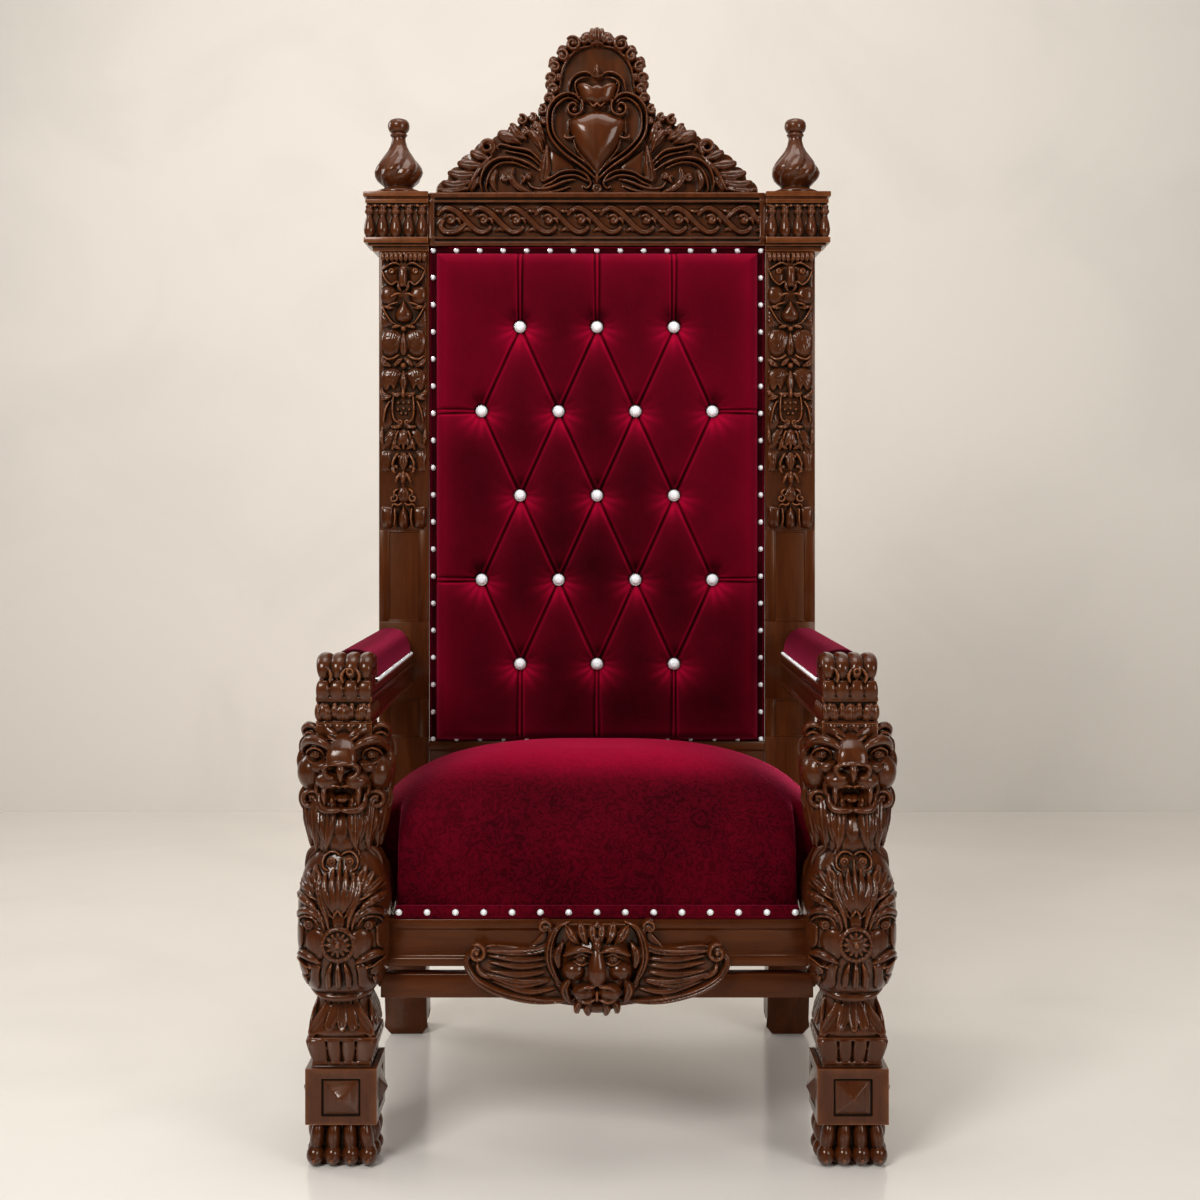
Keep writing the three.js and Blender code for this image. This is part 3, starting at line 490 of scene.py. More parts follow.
def skirt():
    rings = [[183, 44, -1, -1], [189, 48, -1, -1], [197, 47, -1, -1], [207, 42, -1, -1], [220, 37.5, -1, -1],
             [240, 36, -1, -1]]
    rings = [[z, h, POST_Y - h, POST_Y + h] for z, h, _, _ in rings]
    leaves = []
    for x, tip, half, z in ((0, 2, 6.5, 193), (14, 20, 8.5, 196), (31, 45, 9.5, 187)):
        path = [(x * 0.62, POST_Y - 37, 236), (x * 0.8, POST_Y - 41.5, 216), (tip, POST_Y - 51 + 0.12 * tip, z)]
        leaf = strand(path, (5.5, half, half), 4.2, blunt=0.35, cup=0.75, rib=-0.5)
        leaves += both([leaf]) if x else [leaf]
    return [stack(rings, square=4.5)] + [quarter(s, q) for q in range(4) for s in leaves]


def rosette(centre, outer, petals=12):
    """A round flower with a corded rim, petals, a raised hub and a pin."""
    x, y, z = centre
    disc = [moved(ball((0, 0, 0), (outer, 8, outer), columns=36), (x, y + 2, z))]
    rim = ring_of((x, y - 3, z), outer - 3.2, 3.4, proud=1.1)
    beads = []
    for k in range(24):
        a = 2 * math.pi * k / 24
        beads.append(ball((x + (outer - 4) * math.cos(a), y - 5.4, z + (outer - 4) * math.sin(a)), (2.2, 2.2, 2.2),
                     7, 8))
    leaves = []
    for k in range(petals):
        a = 2 * math.pi * k / petals
        near, far = (math.cos(a) * 5, math.sin(a) * 5), (math.cos(a) * (outer - 8), math.sin(a) * (outer - 8))
        path = [(x + near[0], y - 5, z + near[1]), (x + far[0], y - 5.5, z + far[1])]
        leaves.append(strand(path, 2.6, 2.6, sides=10))
    hub = [ring_of((x, y - 6.5, z), 7.6, 1.9, columns=8), ball((x, y - 7, z), (5.4, 6.5, 5.4))]
    return [*disc, rim, *beads, *leaves, *hub]


def pebble(outline, thick, lay=on_body, puff=0.5, rows=11, columns=44, sink=6.0, comb=None, deep=1.3):
    """A smooth plate with a rolled edge and the outline of these x, z points, laid on a surface. A comb is a
    direction in degrees and a pitch, and cuts fine grooves along it."""
    closed = [(a, 0.0, b) for a, b in [*outline, outline[0]]]
    loop = smooth_path(closed, np.linspace(0, 1, columns, endpoint=False))[0][:, [0, 2]]
    after = np.roll(loop, -1, axis=0)
    if (loop[:, 0] * after[:, 1] - after[:, 0] * loop[:, 1]).sum() < 0:
        loop = loop[::-1]
    middle = loop.mean(axis=0)
    points = []
    for turn in np.linspace(0, math.pi, rows if comb is None else rows * 2):
        rise = abs(math.cos(turn)) ** puff
        ring = middle + (loop - middle) * math.sin(turn) ** 0.75
        for a, b in ring:
            lift = thick * rise if turn < math.pi / 2 else -sink * rise
            if comb and turn < math.pi / 2:
                across = (a * math.sin(math.radians(comb[0])) - b * math.cos(math.radians(comb[0]))) / comb[1]
                lift -= deep * (1 - abs(math.sin(math.pi * across))) * min(1, rise * 2)
            points.append(lay(a, b, lift))
    return np.array(points), grid_quads(len(points) // columns, columns)


def post_body():
    core = stack(BODY, BODY_SQUARE)
    right = []

    def lay(points, width, depth, **form):
        right.append(strand(over_body(points), width, depth, **form))

    # crown ridge, double arch and its two volutes
    lay([(-1, 462, 3), (12, 460, 3), (22, 453, 3), (27, 443, 2)], 1.7, 4.4, blunt=0.3)
    lay([(0, 444, 4), (7, 449, 5), (16, 449, 5), (24, 441, 5), (24, 430, 4), (17, 424, 3)], 2.0, 5, blunt=0.3)
    right.append(ring_of(on_body(13, 436, 3), 4.6, 1.6, columns=8))
    right.append(ball(on_body(13, 436, 2), (2, 4, 2)))
    # palmette: inner reeds, a hooked outer leaf and the crown at its foot
    lay([(2, 366, 2), (6, 384, 6), (9.5, 405, 7), (9, 427, 3)], (2.4, 5.2, 5.4, 3), 6.5, rib=0.25, blunt=0.3)
    lay([(4, 364, 2), (13.5, 384, 6), (20, 402, 7), (20, 422, 4)], (2.4, 5.4, 5.8, 3), 6.5, rib=0.3, blunt=0.3)
    lay([(8, 360, 2), (22, 382, 6), (29, 401, 7), (28, 416, 6), (33, 424, 5), (37, 417, 4)], (2.5, 5.4, 5, 4, 3.4),
        7, rib=0.35)
    lay([(0, 373, 9), (7, 364, 7)], 1.6, 4, blunt=0.3)
    # fan of three lobes over a straight rib
    lay([(24, 388, 2), (31, 410, 6), (36, 431, 3)], (2.5, 6.5, 6), 7, reeds=2, reed=0.4)
    lay([(26, 388, 2), (38, 407, 6), (47, 422, 3)], (2.5, 6.5, 6), 7, reeds=2, reed=0.4)
    lay([(27, 387, 2), (44, 400, 6), (57, 410, 3)], (2.5, 6.5, 6), 7, reeds=2, reed=0.4)
    lay([(24, 383, 6), (42, 392, 7), (61, 401, 4)], 2.1, 5.5, blunt=0.3)
    # shoulder leaf
    right.append(strand([(28, -320, 458), (44, -306, 443), (55, -296, 414)], (5, 9, 4), 8, face=(0.6, -0.8, 0),
                 reeds=2))
    # brow leaf with a notched edge, eyelid and lashes
    lay([(27, 366, 3), (36, 377, 6), (50, 385, 6), (63, 389, 3)], (3, 6.4, 7, 5), 7.5, lobes=6, notch=0.12,
        slant=0.3, veins=0.2)
    lay([(24, 352, 2), (31, 365, 6), (44, 370.5, 7), (57, 366, 5), (63, 355, 3)], (2.5, 4.8, 5.4, 4.6, 2.5), 6.5)
    lay([(27, 349, 4), (34, 360, 7), (44, 363, 8), (54, 360, 6), (60, 352, 4)], 1.5, 4, blunt=0.3)
    # arched leaf beside the rosette
    lay([(13, 344, 2), (17, 364, 5), (25, 380, 7), (31, 383, 6)], (2.6, 3.4, 3.4, 2.4), 6.5, rib=0.5)
    lay([(19, 344, 2), (23, 360, 5), (29, 373, 6)], (2, 3, 2.2), 5.5)
    # eye
    right.append(ball(on_body(42, 350, -3), (9, 9, 8)))
    right.append(ring_of(on_body(42, 350, 5), 4.8, 1.5, columns=8))
    right.append(ball(on_body(42, 350, 4.5), (2.2, 2.6, 2.2)))
    # inner and outer cheeks
    right.append(pebble([(21, 342), (33, 345.5), (44, 339), (48, 326), (43, 312), (31, 304), (21, 307)], 7))
    right.append(pebble([(52, 347), (60, 349), (65, 340), (65.4, 322), (60, 313), (53, 319), (51.5, 334)], 7))
    # lower leaves: a fold, an inner plate, two lobes and a rolled lip
    lay([(24, 297, 3), (36, 304, 7), (50, 309, 7), (60, 306, 4)], (4, 6, 6, 4), 7, blunt=0.35)
    right.append(pebble([(25, 294), (35, 297), (40, 288), (41, 274), (45, 262), (35, 256), (28, 261), (27, 279)], 7))
    right.append(pebble([(44, 286), (54, 292), (63, 292), (62, 281), (51, 276.5), (44, 279)], 7))
    right.append(pebble([(46, 273), (53, 276), (59, 271), (56, 262), (50, 257), (47, 263)], 7))
    lay([(38, 291, 6), (47, 292, 8), (56, 297, 7), (62, 299, 4)], 1.7, 5, blunt=0.3)
    right.append(ball(on_body(40, 291, 8), (2.4, 3, 2.4)))
    # lower middle leaves
    lay([(9, 298, 3), (13.5, 282, 6), (14.5, 259, 4)], (2.8, 5, 5), 7, rib=0.3, lobes=3, notch=0.1, veins=0.1,
        blunt=0.3)
    # flank and back leaves
    flank = {"face": (1, 0, 0), "lobes": 7, "notch": 0.2, "veins": 0.35}
    right.append(strand([(50, -292, 246), (58, -286, 300), (59.5, -282, 360), (50, -286, 424)], (12, 22, 20, 8), 9,
                 **flank))
    right.append(strand([(44, -246, 440), (57, -250, 400), (59, -246, 340), (50, -242, 262)], (10, 18, 18, 9), 9,
                 **flank))
    right.append(strand([(22, -226, 440), (34, -220, 380), (34, -220, 300), (22, -226, 250)], (12, 22, 20, 10), 8,
                        face=(0, 1, 0), lobes=6, notch=0.2, veins=0.35))
    middle = [
        strand(over_body([(0, 440, 3), (0, 410, 8), (0, 385, 7), (0, 370, 4)]), (2, 3.6, 4.6, 2.5), 6.5),
        pebble([(-7, 349), (7, 349), (8, 362), (0, 369), (-8, 362)], 4),
        strand(over_body([(0, 298, 3), (0, 282, 7), (0, 258, 4)]), (3.4, 5, 4.6), 7, rib=0.4, blunt=0.3),
        strand(over_body([(-46, 252, 0), (-24, 245, 3), (0, 243, 4), (24, 245, 3), (46, 252, 0)]), 6, 6,
              face=(0, -1, -0.6)),
    ]
    return [core, *rosette((0, -359, 324), 25.5), *both(right), *middle]


def mane():
    rings = [[440, 40, -330, -236], [462, 45, -333, -234], [486, 50, -326, -232], [520, 56, -306, -232],
             [560, 58, -298, -232],
             [592, 58, -290, -232]]
    locks = []
    for k in range(7):
        share = k / 6
        a = math.radians(18 + 150 * share)
        x, y = math.sin(a), -math.cos(a)
        top = (60 * x, -272 + 34 * y, 540 - 14 * share)
        mid = (58 * x, -276 + 48 * y, 505)
        low = (46 * x + 5, -280 + 52 * y, 468)
        tip = (40 * x + 9, -280 + 50 * y, 448)
        face = (x, y, 0)
        locks.append(strand([top, mid, low, tip], (6, 11, 10, 5), 8, face=face, reeds=3, reed=0.35))
        if k < 6:
            b = math.radians(30 + 150 * share)
            x2, y2 = math.sin(b), -math.cos(b)
            path = [(56 * x2, -272 + 40 * y2, 520), (53 * x2 + 2, -278 + 52 * y2, 486),
                    (40 * x2 + 1, -280 + 50 * y2, 452)]
            locks.append(strand(path, (5, 8, 4), 8, face=(x2, y2, 0), reeds=2, reed=0.35))
    throat = strand([(0, -300, 512), (0, -318, 488), (0, -330, 462)], (20, 16, 12), 12, reeds=3, reed=0.12)
    return [stack(rings, 2.4), throat, *both(locks)]


def lion_head():
    skull = ball((0, -268, 574), (60, 43, 50), 21, 32)
    right = []
    add = right.append
    # nostril wing and the pad under it
    add(strand([(16, -335, 573), (22.5, -332, 570), (24, -329, 563), (19, -332, 556), (10, -334, 554)], 4.0, 6,
        blunt=0.3))
    add(ball((19.5, -317, 548.5), (19.5, 19, 13.5), 17, 24))
    add(strand([(0, -331, 541), (8, -332, 543), (16, -330, 541), (25, -325, 537)], 1.8, 4, blunt=0.3))
    # cheek, lip corner and the roll below it
    add(ball((47.5, -287, 557), (22, 25, 28), 19, 28))
    add(strand([(22, -312, 575), (34, -309, 566), (47, -304, 568)], (5, 9, 7), 10))
    add(strand([(58, -284, 596), (61, -280, 574), (59, -282, 548)], (6, 10, 9), 12, face=(0.6, -0.8, 0)))
    add(strand([(37, -315, 548), (37, -314, 535), (34, -316, 522)], (4, 3.6, 3), 7))
    add(strand([(x, -305 - 0.3 * (46 - x), z) for x, z in curl((47, 519), 13.5, 150, -1.3)], (3, 4.4, 4.2, 3), 8,
        blunt=0.2))
    add(ball((47, -304, 519), (3.6, 6, 3.6)))
    # fangs, teeth and the squared lower lip
    add(strand([(24.5, -325, 542), (25, -330, 531), (24, -329, 515)], (4.4, 3.8, 1.6), (5, 4.6, 2.4), blunt=0.25))
    add(ball((12.5, -323, 540), (3, 3.4, 4.4), 9, 10))
    add(ball((5, -323, 540), (2.6, 3, 3.2), 9, 10))
    add(ball((15, -323, 518), (2.8, 3.2, 6.4), 9, 10))
    add(strand([(33, -316, 530), (31.5, -319, 516), (25, -326, 508.5), (12, -331, 507.5), (0, -332, 509)],
        (3.4, 5.2, 5.6, 5, 4.6), 9,
               blunt=0.2, boxy=2.6))
    # eye, its lids and pupil
    add(ball((40, -298, 584), (10.5, 9.5, 10)))
    add(strand([(26.5, -304, 580), (31, -311, 590), (41, -312, 594.5), (51, -304, 590), (55, -296, 582)], 2.1, 5))
    add(strand([(26.5, -304, 579), (34, -310, 573.5), (44, -308, 572), (54, -298, 578)], 2.0, 4.4))
    add(ring_of((40, -307, 584), 4.4, 1.2, columns=8))
    add(ball((40, -306.5, 584), (2.2, 3.2, 2.2)))
    # brow, frown and forehead
    add(strand([(14, -317, 585), (20, -321, 597), (32, -318, 604), (46, -308, 605.5), (57, -295, 598),
        (63, -284, 584)],
               (4.6, 6.6, 7.4, 7.6, 6.6, 4), 9.5, sides=24))
    add(strand([(1, -318, 599), (11, -317, 605), (22, -312, 612)], 2.8, 5.5, blunt=0.3))
    add(strand([(8, -322, 590), (14, -321, 598)], 2.6, 4.5))
    add(strand([(4, -310, 606), (17, -305, 614), (31, -298, 619), (42, -290, 618)], (4, 7.5, 7.5, 5), 7, boxy=2.6))
    for x, tall in ((8, 7), (25, 5)):
        add(strand([(x, -290, 629), (x, -301, 625), (x + 1, -304, 622 - tall)], (9.5, 9.5, 4), 6))
    # forelock loop, ear and side locks
    add(strand([(38, -294, 612), (42, -292, 621), (53, -287, 624.5), (61, -277, 618), (62, -270, 606)], 4.8, 9,
        blunt=0.3))
    add(strand([(42, -294, 611), (52, -289, 614), (61, -280, 608)], 2.8, 7))
    add(ball((46, -264, 604), (18, 22, 20)))
    add(strand([(58, -272, 608), (64, -267, 596), (64, -265, 580), (58, -268, 564)], (4, 7.5, 7, 4), 8,
        face=(0.75, -0.65, 0), cup=0.6))
    add(strand([(58, -284, 538), (61.5, -281, 518), (54, -288, 496)], (5, 8, 5), 8, face=(0.7, -0.7, 0), reeds=2))
    add(strand([(13, -322, 500), (21, -318, 489), (17, -318, 474)], (3, 6.5, 4), 6, rib=0.4))
    bridge = strand([(0, -294, 610), (0, -310, 600), (0, -324, 586), (0, -332, 570)], (13, 17, 21.5, 24.5),
                    (11, 12, 13, 10), blunt=0.1,
                    boxy=3.2, sides=40)
    nose = ball((0, -308, 563), (24, 14, 10))
    tip = strand([(-21, -333, 572.5), (0, -338, 575), (21, -333, 572.5)], 3.0, 5, blunt=0.3)
    septum = strand([(0, -334, 574), (0, -338, 565), (0, -337, 556), (0, -333, 548)], (7, 6, 4, 1.8), 5.5, blunt=0.3)
    crown = block((-40, 40), (-304, -238), (604, 626.4))
    tongue = strand([(0, -292, 521), (0, -313, 524), (0, -325, 519)], (11, 12.5, 10), 5, face=(0, 0, 1), blunt=0.3,
                    rib=0.3)
    chin = ball((0, -302, 502), (27, 20, 9))
    ears = [strand([(56, -250, 600), (60, -244, 560), (55, -240, 500)], (8, 13, 10), 8, face=(1, 0, 0), reeds=3)]
    return [skull, bridge, nose, tip, septum, crown, tongue, chin, *both(right), *both(ears)]


def build_posts(context):
    shells = [*paw(), *post_block(), *flare(), *skirt(), *post_body(), *mane(), *lion_head()]
    post = carve("front_post_left", shells, grain=1.05, soften=1, triangles=150000)
    twin = copy_of(post, "front_post_right", (POST_X, 0, 0))
    shift_mesh(post, (-POST_X, 0, 0))
    return [(post, "front_leg_left"), (twin, "front_leg_right")]


# ------------------------------------------------------------------ arms, about x = 0


def build_arms(context):
    half, front, end = 40.5, -306, 264.5
    core = [block((-half + 2, half - 2), (front + 2, end), (628, 679))]
    for low, high, out in ((627.2, 631, 0), (631, 634, 1.4), (656, 660, 1.2), (660, 665.5, 0), (669, 679.8, 0.4)):
        core.append(block((-half + out, half - out), (front + out, end), (low, high)))
    leaves = []
    for x, w in ((0, 15), (24, 9), (36, 7)):
        path = [(x * 0.95, front - 1, 633), (x, front - 3, 645), (x * 1.02, front, 657)]
        leaf = strand(path, (w, w * 0.8, w * 0.5), 8, blunt=0.35, reeds=3, reed=0.3)
        leaves += both([leaf]) if x else [leaf]
    for x in (12.5, 30):
        leaves += both([strand([(x, front - 1, 658), (x * 0.97, front - 4, 648), (x, front - 1, 636)], 4.5, 7,
                       rib=0.4)])
    for y in np.arange(front + 10, -232, 19):
        path = [(38.5, y, 633), (40, y, 645), (38.5, y, 656)]
        leaves += both([strand(path, (9, 7, 5), 4, face=(1, 0, 0), blunt=0.35, reeds=3)])
    for x in (-30.5, -10.2, 10.2, 30.5):
        toe = [(x * 0.98, -238, 690), (x, -252, 712), (x, -280, 716), (x, -296, 708), (x, -299, 692)]
        leaves.append(strand(toe, (9.5, 11.8, 12.2, 11.8, 10.5), (10, 12, 12, 11.5, 9), face=(0, -1, 1), blunt=0.25,
                      boxy=2.3, sides=28))
        leaves.append(strand([(x, -296, 688.5), (x, -300, 677), (x, -297, 662)], (9, 10, 9.8), 9.5, blunt=0.14,
                      boxy=3.6, sides=28))
    for x, lean in ((-20, 2), (0, -3), (20, 3)):
        leaves.append(strand([(x - lean, -302, 708), (x + lean, -309, 697), (x, -308, 686)], (1.6, 3, 2), 4))
    leaves.append(ring_of((9, -310, 703), 4.2, 1.5, columns=8))
    palm = stack([[678, 39, -300, -236], [700, 38, -292, -236], [712, 34, -280, -240]], square=5)
    roll = strand([(-39, -234, 694), (0, -234, 702), (39, -234, 694)], 9, 12, face=(0, 0, 1), blunt=0.2)
    arm = carve("carved_arm_left", [*core, palm, roll, *leaves], grain=1.2, soften=2, triangles=44000)
    twin = copy_of(arm, "carved_arm_right", (POST_X, 0, 0))
    shift_mesh(arm, (-POST_X, 0, 0))
    return [(arm, "arm_left"), (twin, "arm_right")]


# ------------------------------------------------------------------ uprights of the back, about x = 0


def on_stile(points, lift=3):
    return [(p[0], BACK_Y - lift - (p[2] if len(p) > 2 else 0), p[1]) for p in points]


def on_upright(x, z, lift=0.0):
    return (x, BACK_Y - lift, z)


def drop():
    right = []
    add = right.append

    def lay(path, width, depth, **form):
        add(strand(on_stile(path), width, depth, **form))

    def leaf(outline, thick, comb=None, **form):
        add(pebble([(a * 1.03, b) for a, b in outline], thick * 0.85, on_upright, comb=comb, columns=60, **form))

    # hair band, brow, eye pouch and cheek of the mask
    for k in range(5):
        lay([(4 + 8 * k, 1387, 3), (5 + 8 * k, 1379, 6), (3 + 8 * k, 1371, 3)], 4.2, 7, reeds=2, reed=0.4)
    lay([(6, 1365, 4), (16, 1368, 6), (26, 1364, 5), (38, 1356, 3)], 2.2, 7, blunt=0.3)
    leaf([(10, 1362), (24, 1363), (37, 1356), (33, 1342), (21, 1331), (12, 1336)], 8, (60, 3.2), deep=0.6)
    add(ball(on_upright(21, 1354, 7), (6.5, 5, 5.5)))
    add(ring_of(on_upright(21, 1354, 11.5), 3.6, 1.2, columns=8))
    lay([(10, 1337, 6), (15, 1333, 7), (21, 1330, 7), (31, 1339, 6), (38, 1355, 4)], 1.9, 6, blunt=0.3)
    leaf([(9, 1313), (16, 1325), (28, 1329), (38, 1322), (39, 1306), (30, 1295), (17, 1297)], 13, puff=0.7)
    lay([(4, 1313, 12), (11, 1313, 14), (21, 1308, 13)], 2.1, 5, blunt=0.3)
    lay([(9, 1299, 8), (16, 1297, 9), (26, 1294, 7)], 1.8, 5, blunt=0.3)
    leaf([(38, 1294), (31, 1284), (22, 1272), (13, 1261), (24, 1258), (38, 1259)], 8, (50, 4.4))
    lay([(38, 1294, 5), (30, 1278, 7), (20, 1264, 6), (12, 1261, 4)], 1.6, 5, blunt=0.3)
    # first leaf pair with a rolled lip and a curl
    leaf([(3, 1243), (14, 1252), (30, 1251), (38, 1238), (37, 1218), (28, 1204), (15, 1206), (5, 1222)], 11,
         (105, 4.2), puff=0.6)
    lay([(36, 1205, 5), (27, 1199, 8), (16, 1201, 8), (8, 1207, 5)], 2.4, 6, blunt=0.3)
    add(ball(on_upright(30, 1199, 7), (4, 5, 3.4)))
    # second leaf pair with notched tips
    leaf([(2, 1176), (13, 1184), (28, 1184), (38, 1174), (37, 1156), (30, 1143), (22, 1152), (16, 1145), (9, 1160)],
         11, (110, 4.2),
         puff=0.6)
    lay([(39, 1146), (36, 1138, 4), (27, 1136, 4)], 4.5, 7, rib=0.4)
    # small leaves that fill the gaps between the pairs
    for path, wide in (([(3, 1200), (10, 1194, 5), (16, 1188, 3)], (2, 5, 3)),
                       ([(38, 1200), (32, 1192, 5), (22, 1187, 3)], (3, 6, 3)),
                       ([(5, 1140), (12, 1136, 5), (20, 1140, 3)], (2, 5, 3)),
                       ([(38, 1130), (30, 1132, 5), (22, 1134, 3)], (3, 5, 3)),
                       ([(4, 1082), (12, 1080, 5), (22, 1081, 3)], (2, 4, 3)),
                       ([(38, 1076), (38, 1062, 5), (36, 1050, 3)], (3, 4, 2)),
                       ([(6, 1042), (14, 1046, 5), (20, 1052, 3)], (2, 4, 3)),
                       ([(14, 1064), (16, 1050, 5), (20, 1040, 3)], (2, 4, 3)),
                       ([(5, 1320), (8, 1326, 5), (9, 1336, 3)], (2, 3.5, 2)),
                       ([(18, 1290), (26, 1290, 5), (34, 1292, 3)], (2, 4, 3)),
                       ([(5, 1258), (12, 1257, 5), (20, 1255, 3)], (2, 3.5, 3)),
                       ([(17, 1016), (18, 1004, 5), (14, 1000, 3)], (3, 4, 2))):
        lay(path, wide, 7, rib=0.3, blunt=0.3)
    # medallion leaves
    leaf([(17, 1134), (28, 1126), (37, 1112), (38, 1094), (33, 1079), (24, 1080), (18, 1090), (19, 1110)], 8,
         (75, 4.4))
    lay([(17, 1136, 6), (19, 1112, 8), (16, 1094, 8), (6, 1087, 8)], 2.0, 6, blunt=0.3)
    lay([(24, 1126, 6), (31, 1110, 8), (35, 1088, 6)], 2.2, 6, blunt=0.3)
    add(ring_of(on_upright(6.5, 1088, 10), 3.6, 1.6, columns=8))
    # three broad leaves
    leaf([(11, 1077), (24, 1075), (37, 1058), (37, 1042), (27, 1043), (17, 1056)], 9, (140, 4.2), puff=0.6)
    lay([(8, 1074, 7), (12, 1066, 10), (13, 1058, 8)], 1.8, 5, blunt=0.3)
    leaf([(22, 1038), (37, 1036), (38, 1018), (36, 1004), (26, 1003), (22, 1018)], 7, (95, 4.2))
    lay([(9, 1035, 5), (15, 1026, 7), (19, 1014, 6), (14, 1008, 5)], 2.4, 7, rib=0.3)
    add(ball(on_upright(13, 1010, 7), (3.4, 4.4, 3.8)))
    add(ball(on_upright(8, 1028, 7), (2.4, 3.6, 3.4)))
    # bell, volutes and ribbons
    lay([(5, 1000, 4), (10, 991, 7), (13, 983, 4)], (2, 4, 3), 8, blunt=0.3)
    lay([(9, 972, 4), (16, 966, 6), (15, 958, 4)], 2.6, 7)
    lay([(x, z, 4) for x, z in curl((17, 955), 7.5, 80, 1.2)], 2.6, 8, blunt=0.2)
    add(ball(on_upright(17, 955, 7), (2.6, 5, 2.6)))
    lay([(2, 947, 5), (9, 943, 7), (16, 945, 6), (21, 939, 4)], 2.2, 7, blunt=0.3)
    # base lobes
    leaf([(17, 940), (28, 942), (38, 940), (39, 918), (36, 905), (28, 902), (19, 906), (16, 920)], 13, puff=0.7)
    lay([(15, 938, 6), (14, 920, 10), (16, 906, 6)], 2.2, 7, blunt=0.3)
    ground = [block((-39, 39), (BACK_Y - 3, BACK_Y + 6), (1004, 1388)),
              block((-39, 39), (BACK_Y - 2, BACK_Y + 6), (902, 940))]

    def middle_leaf(outline, thick, **form):
        return pebble([*outline, *[(-a, b) for a, b in outline[::-1]]], thick, on_upright, columns=60, **form)

    middle = [
        strand(on_stile([(0, 1361, 8), (0, 1345, 9), (0, 1326, 9)]), (6.8, 6.8, 7.4), 10, blunt=0.15, boxy=3.0),
        middle_leaf([(1, 1302), (9, 1290), (15, 1279), (13, 1269), (5, 1264)], 15, puff=0.7),
        ball(on_upright(0, 1253, 6), (5.2, 8, 5.2)),
        strand(on_stile([(0, 1246, 2), (0, 1228, 3), (0, 1206, 2)]), (3, 6, 9), 7, rib=0.3),
        ball(on_upright(0, 1188, 7), (5.4, 8, 5.4)),
        strand(on_stile([(0, 1180, 2), (0, 1160, 2), (0, 1140, 4)]), (3, 7, 5), 7, rib=0.3),
        strand(on_stile([(0, 1146, 5), (0, 1140, 8), (0, 1134, 4)]), (2, 4, 6), 7, blunt=0.3),
        middle_leaf([(1, 1077), (8, 1073), (14, 1056), (12, 1042), (5, 1049), (1, 1040)], 12, comb=(90, 4.2),
              puff=0.6),
        strand(on_stile([(0, 1036, 3), (0, 1020, 4), (0, 1003, 4)]), (8, 9, 4), 8, reeds=3, reed=0.4),
        strand(on_stile([(0, 1002, 4), (0, 990, 8), (0, 981, 4)]), (4, 6, 5), 8, blunt=0.3),
        ball(on_upright(0, 979, 8), (2.8, 4, 3.4)),
        strand(on_stile([(0, 976, 2), (0, 962, 2), (0, 948, 2)]), (8, 12, 14), 6, reeds=3, reed=0.3),
        ball(on_upright(0, 966, 8), (3, 4, 2.8)),
        middle_leaf([(0, 942), (7, 930), (9.5, 915), (7, 904), (1, 901)], 15, puff=0.8),
    ]
    for x, z in ((0, 1123), (9.5, 1123), (-9.5, 1123), (10, 1111), (-10, 1111), (4, 1104), (-4, 1104), (0, 1113)):
        middle.append(ball(on_upright(x, z, 6), (2.5, 3.4, 2.3), 7, 10))
    return [*ground, *both(right), *middle]


def board_from_side(name, outline, x, bevel=1.6, taper=None):
    """A board cut from a side view: outline is y, z points in order, x its two faces."""
    edge = np.asarray(outline, float)
    n = len(edge)
    rows = []
    for v in x:
        shrink = np.ones(n) if taper is None else np.interp(edge[:, 1], *taper)
        rows.append(np.column_stack([v * shrink, edge[:, 0], edge[:, 1]]))
    mesh = bpy.data.meshes.new(name)
    sides = [(i, (i + 1) % n, n + (i + 1) % n, n + i) for i in range(n)]
    faces = [tuple(range(n))[::-1], tuple(range(n, 2 * n)), *sides]
    mesh.from_pydata((np.vstack(rows) / 1000).tolist(), [], faces)
    piece = bpy.data.objects.new(name, mesh)
    bpy.context.scene.collection.objects.link(piece)
    only(piece)
    bpy.ops.object.mode_set(mode="EDIT")
    bpy.ops.mesh.select_all(action="SELECT")
    bpy.ops.mesh.normals_make_consistent(inside=False)
    bpy.ops.object.mode_set(mode="OBJECT")
    finish_modifier(piece, "BEVEL", width=bevel / 1000, segments=2, limit_method="ANGLE",
                    angle_limit=math.radians(40))
    bpy.ops.object.shade_smooth_by_angle(angle=math.radians(35))
    return piece


def boxed(name, x, y, z, bevel=1.2):
    """A plain board with eased edges."""
    bpy.ops.object.select_all(action="DESELECT")
    middle = [(a + b) / 2000 for a, b in (x, y, z)]
    bpy.ops.mesh.primitive_cube_add(size=1, location=middle)
    piece = bpy.context.active_object
    piece.name = piece.data.name = name
    piece.scale = [abs(b - a) / 1000 for a, b in (x, y, z)]
    bpy.ops.object.transform_apply(location=True, rotation=True, scale=True)
    finish_modifier(piece, "BEVEL", width=bevel / 1000, segments=2)
    bpy.ops.object.shade_smooth_by_angle(angle=math.radians(35))
    return piece


def united(name, pieces):
    """Joins pieces into one object of this name."""
    bpy.ops.object.select_all(action="DESELECT")
    for piece in pieces:
        piece.select_set(True)
    bpy.context.view_layer.objects.active = pieces[0]
    bpy.ops.object.join()
    pieces[0].name = pieces[0].data.name = name
    return pieces[0]


def bezier(a, b, c, d, count=14):
    t = np.linspace(0, 1, count)[1:, None]
    a, b, c, d = (np.asarray(v, float) for v in (a, b, c, d))
    return ((1 - t) ** 3 * a + 3 * (1 - t) ** 2 * t * b + 3 * (1 - t) * t**2 * c + t**3 * d).tolist()


